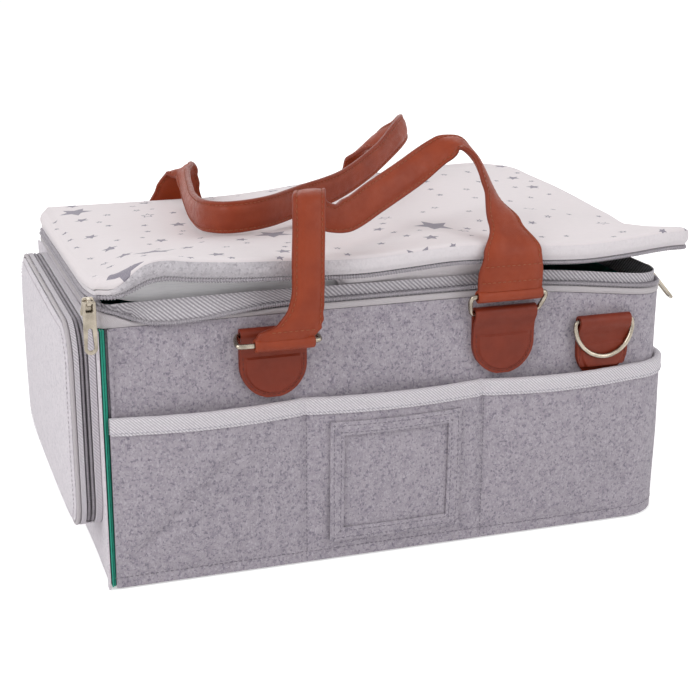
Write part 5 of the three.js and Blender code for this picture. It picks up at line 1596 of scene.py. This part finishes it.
def cutPlate(outline, holes, thick, soft):  # a flat stamped plate with rounded edges, in its own plane
    curve = bpy.data.curves.new("plate", "CURVE")
    curve.dimensions, curve.fill_mode = "2D", "BOTH"
    curve.extrude, curve.bevel_depth, curve.bevel_resolution, curve.offset = thick / 2 - soft, soft, 2, -soft
    for loop in (outline, *holes):
        line = curve.splines.new("POLY")
        line.points.add(len(loop) - 1)
        for point, (a, b) in zip(line.points, loop):
            point.co = (a, b, 0, 1)
        line.use_cyclic_u = True
    flat = place("plate", curve)
    bpy.context.view_layer.update()
    mesh = bpy.data.meshes.new_from_object(flat.evaluated_get(bpy.context.evaluated_depsgraph_get()))
    bpy.data.objects.remove(flat)
    form = bmesh.new()
    form.from_mesh(mesh)
    bmesh.ops.remove_doubles(form, verts=form.verts, dist=1e-4)
    form.to_mesh(mesh)
    form.free()
    return mesh


def roundLoop(centre, radius, start, end, count):
    return [(centre[0] + radius * math.cos(a), centre[1] + radius * math.sin(a))
            for a in np.radians(np.linspace(start, end, count))]


def shapeFrom(meshes, name, matrix):
    form = bmesh.new()
    for mesh, local in meshes:
        mesh.transform(local)
        form.from_mesh(mesh)
    bmesh.ops.transform(form, matrix=matrix, verts=form.verts)
    bmesh.ops.scale(form, vec=(mm, mm, mm), verts=form.verts)
    bmesh.ops.recalc_face_normals(form, faces=form.faces)
    mesh = bpy.data.meshes.new(name)
    form.to_mesh(mesh)
    form.free()
    made = place(name, mesh)
    mesh.materials.clear()
    mesh.materials.append(finishes["nickel"])
    shadeSmooth(mesh, 38)
    return made


standing = Matrix.Rotation(math.pi / 2, 4, "X")  # drawn in x, y; stood up to face -Y


def sliderMeshes():
    w, h, t = sliderSizes["width"] / 2, sliderSizes["height"] / 2, sliderSizes["plate"]
    side = [(w - 1.2, -h), (w - 0.2, -h + 0.8), (w, -h + 3), (w - 0.7, 0), (w - 1.3, h - 1), (w - 2.2, h)]
    mirrored = [(-a, b) for a, b in side]
    plate = cutPlate([mirrored[0], *side, *mirrored[:0:-1]], [], t, 0.5)
    back = plateBack - t
    lug = [(-2.4, back + 0.6), (-2.4, 0), *roundLoop((0, 0), 2.4, 180, 360, 11), (2.4, 0), (2.4, back + 0.6)]
    bore = roundLoop((0, 0), 1.3, 0, 345, 16)
    arch = cutPlate(lug, [bore], 2.4, 0.35)
    # the arch is drawn in (z, y) and stands across the plate
    archTurn = Matrix(((0, 0, 1, 0), (0, 1, 0, 0), (1, 0, 0, 0), (0, 0, 0, 1)))
    plateTurn = Matrix.Translation((0, plateBack - t / 2, -sliderSizes["drop"])) @ standing
    return [(plate, plateTurn), (arch, archTurn)]


def pullMeshes(length):
    w, thick = sliderSizes["pull"] / 2, sliderSizes["pullThick"]
    outline = [(-w + 0.6, 0.8), (-w, 0.2), *roundLoop((0, w - length), w, 180, 360, 17), (w, 0.2), (w - 0.6, 0.8)]
    window = [(-2.1, -0.8), (2.1, -0.8), (2.1, -5.2), (1.7, -5.6), (-1.7, -5.6), (-2.1, -5.2)]
    eye = [*roundLoop((0, w - length + 0.6), 2.0, 180, 360, 11), *roundLoop((0, 14.5 - length), 1.3, 0, 180, 11)]
    return [(cutPlate(outline, [window, eye], thick, 0.35), standing)]


def makeSliders():
    reach = rimSizes["coil"] + 2 * gap + plateBack + rimSizes["out"]
    leftHeight = coilHeight + bagSizes["lift"] + sliderSizes["drop"] + 1
    rightY = sliderSizes["rightY"]
    rightHeight = coilHeight + 1 - sagAt(endStart + halfDepth - corner + rightY)
    places = {  # where, turned how far, the pull's lean
        "left": ((sliderSizes["leftX"], -halfDepth - reach, leftHeight), 0, 0),
        "right": ((halfLength + reach, rightY, rightHeight), math.pi / 2, sliderSizes["rightLean"]),
        "end": (sliderSizes["endSpot"], math.pi, 0),
    }
    for name, (spot, turn, lean) in places.items():
        base = Matrix.Translation(spot) @ Matrix.Rotation(turn, 4, "Z")
        slider = shapeFrom(sliderMeshes(), name + "Slider", base)
        settle(slider, name + "_slider_body", "nickel", name + "_slider")
        swung = base @ Matrix.Rotation(-math.radians(lean), 4, "X")
        pull = shapeFrom(pullMeshes(sliderSizes["lengths"][name]), name + "Pull", swung)
        settle(pull, name + "_pull_body", "nickel", name + "_pull")


# End pocket on the left end
endSizes = {
    "width": 228, "bottom": 30, "top": 163, "radius": 24, "gusset": 2, "inner": 4, "outer": 3, "coil": 1.2,
    "zipFoot": 36.5, "piping": 1.3, "puff": 5.52, "face": 2.9, "hem": 3.0,
}
endHalf, endMiddle = endSizes["width"] / 2, (endSizes["bottom"] + endSizes["top"]) / 2
endHigh = (endSizes["top"] - endSizes["bottom"]) / 2
innerTo = gap + endSizes["inner"]
innerRow = innerTo + gap + endSizes["coil"]
outerRow = innerRow + 2 * endSizes["coil"] + gap
flapFrom = outerRow + endSizes["coil"] + gap
flapTo = flapFrom + endSizes["outer"]
faceFrom = flapTo + gap


def endLoop(inset, out, perCorner=9, perSide=22):
    r = endSizes["radius"] - inset
    across, up = endHalf - inset - r, endHigh - inset - r
    arcs = [roundLoop((sy * across, endMiddle + sz * up), r, start, start + 90, perCorner)
            for sy, sz, start in ((1, -1, -90), (1, 1, 0), (-1, 1, 90), (-1, -1, 180))]
    loop = []
    for arc, following in zip(arcs, [*arcs[1:], arcs[0]]):
        (y0, z0), (y1, z1) = arc[-1], following[0]
        shares = [k / perSide for k in range(1, perSide)]
        loop += [*arc, *[(y0 + (y1 - y0) * k, z0 + (z1 - z0) * k) for k in shares]]
    return [(-halfLength - out, y, z) for y, z in loop]


def makeEndBand(name, node, body, low, high):
    rows = [endLoop(0.1 * math.sin(math.pi * k), low + (high - low) * k) for k in np.linspace(0, 1, 5)]
    made = addSheet(name, rows, endSizes["gusset"] * 0.7, "twill", closed=True, away=(-195, 0, endMiddle), soft=0.3)
    settle(made, body, "twill", node)


def makeEndZip(name, node, body, out):
    inset, radius = endSizes["coil"] + 0.2, endSizes["coil"]
    loop = [p for p in endLoop(inset, out) if p[2] > endSizes["zipFoot"]]
    path = sorted(loop, key=lambda p: -math.atan2(p[1], p[2] - endMiddle))
    coil = makeZipCoil(name, path, radius, 0.5, Pitch=1.45, Reach=radius - 0.03, Wire=0.36)
    settle(coil, body, "zip_coil", node)


def endFacePoint(a, b, inset):  # a share of the face's half width and half height to a place on it
    r = endSizes["radius"] - inset
    half, high = endHalf - inset, endHigh - inset
    beyond = max(abs(b * high) - (high - r), 0)
    return a * (half - r + math.sqrt(max(r * r - beyond * beyond, 0))), endMiddle + b * high


def makeEndPocket():
    makeEndBand("endGusset", "end_gusset", "caddy", gap, innerTo)
    makeEndBand("flapBand", "end_flap_band", "end_flap", flapFrom, flapTo)
    makeEndZip("endInnerCoil", "end_inner_coil", "caddy", innerRow)
    makeEndZip("endOuterCoil", "end_outer_coil", "end_flap", outerRow)
    pipe = endLoop(endSizes["piping"], faceFrom + endSizes["piping"])
    made = addSkin("endPiping", tubeRings(pipe, endSizes["piping"], 12, True), "smoothTape", joined=True, crease=80)
    settle(made, "end_flap", "twill", "end_piping")
    makeEndFace()
    strip = endHalf - endSizes["radius"]
    low = endSizes["bottom"] - gap
    rows = []
    for share in np.linspace(0, 1, 7):
        x = -halfLength - gap - (flapFrom - 2 * gap) * share
        rows.append([(x, y, low - 1.2 + 0.25 * math.sin(share * 9)) for y in np.linspace(-strip, strip, 40)])
    made = addSheet("endHingeCloth", rows, 0.9, "twill", soft=0.2, away=(-195, 0, 400))
    settle(made, "caddy", "twill", "end_hinge_strip")


def endPuff(a, b):
    return (1 - abs(a) ** 3.2) ** 0.6 * (1 - abs(b) ** 3.2) ** 0.6


def crowded(count, pull):  # shares from -1 to 1 that lie closer at both ends
    return [math.sin(k * math.pi / 2) * pull + k * (1 - pull) for k in np.linspace(-1, 1, count)]


def makeEndFace():
    inset, face, full = 2 * endSizes["piping"] + 0.1, -halfLength - faceFrom - endSizes["face"], endSizes["puff"]
    rows = []
    for b in crowded(37, 0.35):
        b = max(min(b, 1), -1) * 0.9999
        row = []
        for a in crowded(41, 0.3):
            y, z = endFacePoint(a, b, inset)
            swell = endPuff(a, b)
            soft = (0.9 * ripple(0, y, z, 34, 6) + 0.7 * ripple(0, y, z * 0.25, 16, 2)) * swell
            row.append((face - full * swell - soft, y, z))
        rows.append(row)
    # the end pocket takes the pale felt: painted light on the same felt
    made = addSheet("endPocketFelt", rows, 2.6, "pale_felt", away=(-150, 0, endMiddle), soft=0.4)
    settle(made, "end_flap", "pale_felt", "end_pocket_face")
    seam = []
    for _, y, z in endLoop(inset + endSizes["hem"], 0):
        a, b = abs(y) / (endHalf - inset), abs(z - endMiddle) / (endHigh - inset)
        seam.append((face - 0.15 - full * endPuff(min(a, 1) * 0.999, min(b, 1) * 0.999), y, z))
    sew("end_flap", "paleThread", seam + seam[:1])


# Seams: every row of stitches that was marked with sew().
seamStitch = {"Pitch": 3.1, "Length": 2.2, "Radius": 0.3}
seamSlots = {"greyThread": "felt", "darkThread": "felt", "redThread": "leather", "paleThread": "pale_felt"}


def sewSeams():
    for (body, finish), paths in threads.items():
        name = camel(body) + finish[0].upper() + finish[1:]
        settle(layRuns(name, paths, "thread", finish, **seamStitch), body, seamSlots[finish])


makeWalls()
makeFloorAndLinings()
makePockets()
makeLabelFrame()
makeRim()
print("body made")
makeLid()
print("lid made")
makeHardware()
makeHandles()
print("leather and rings made")
makeSliders()
makeEndPocket()
print("zips made")
sewSeams()
print("seams sewn")
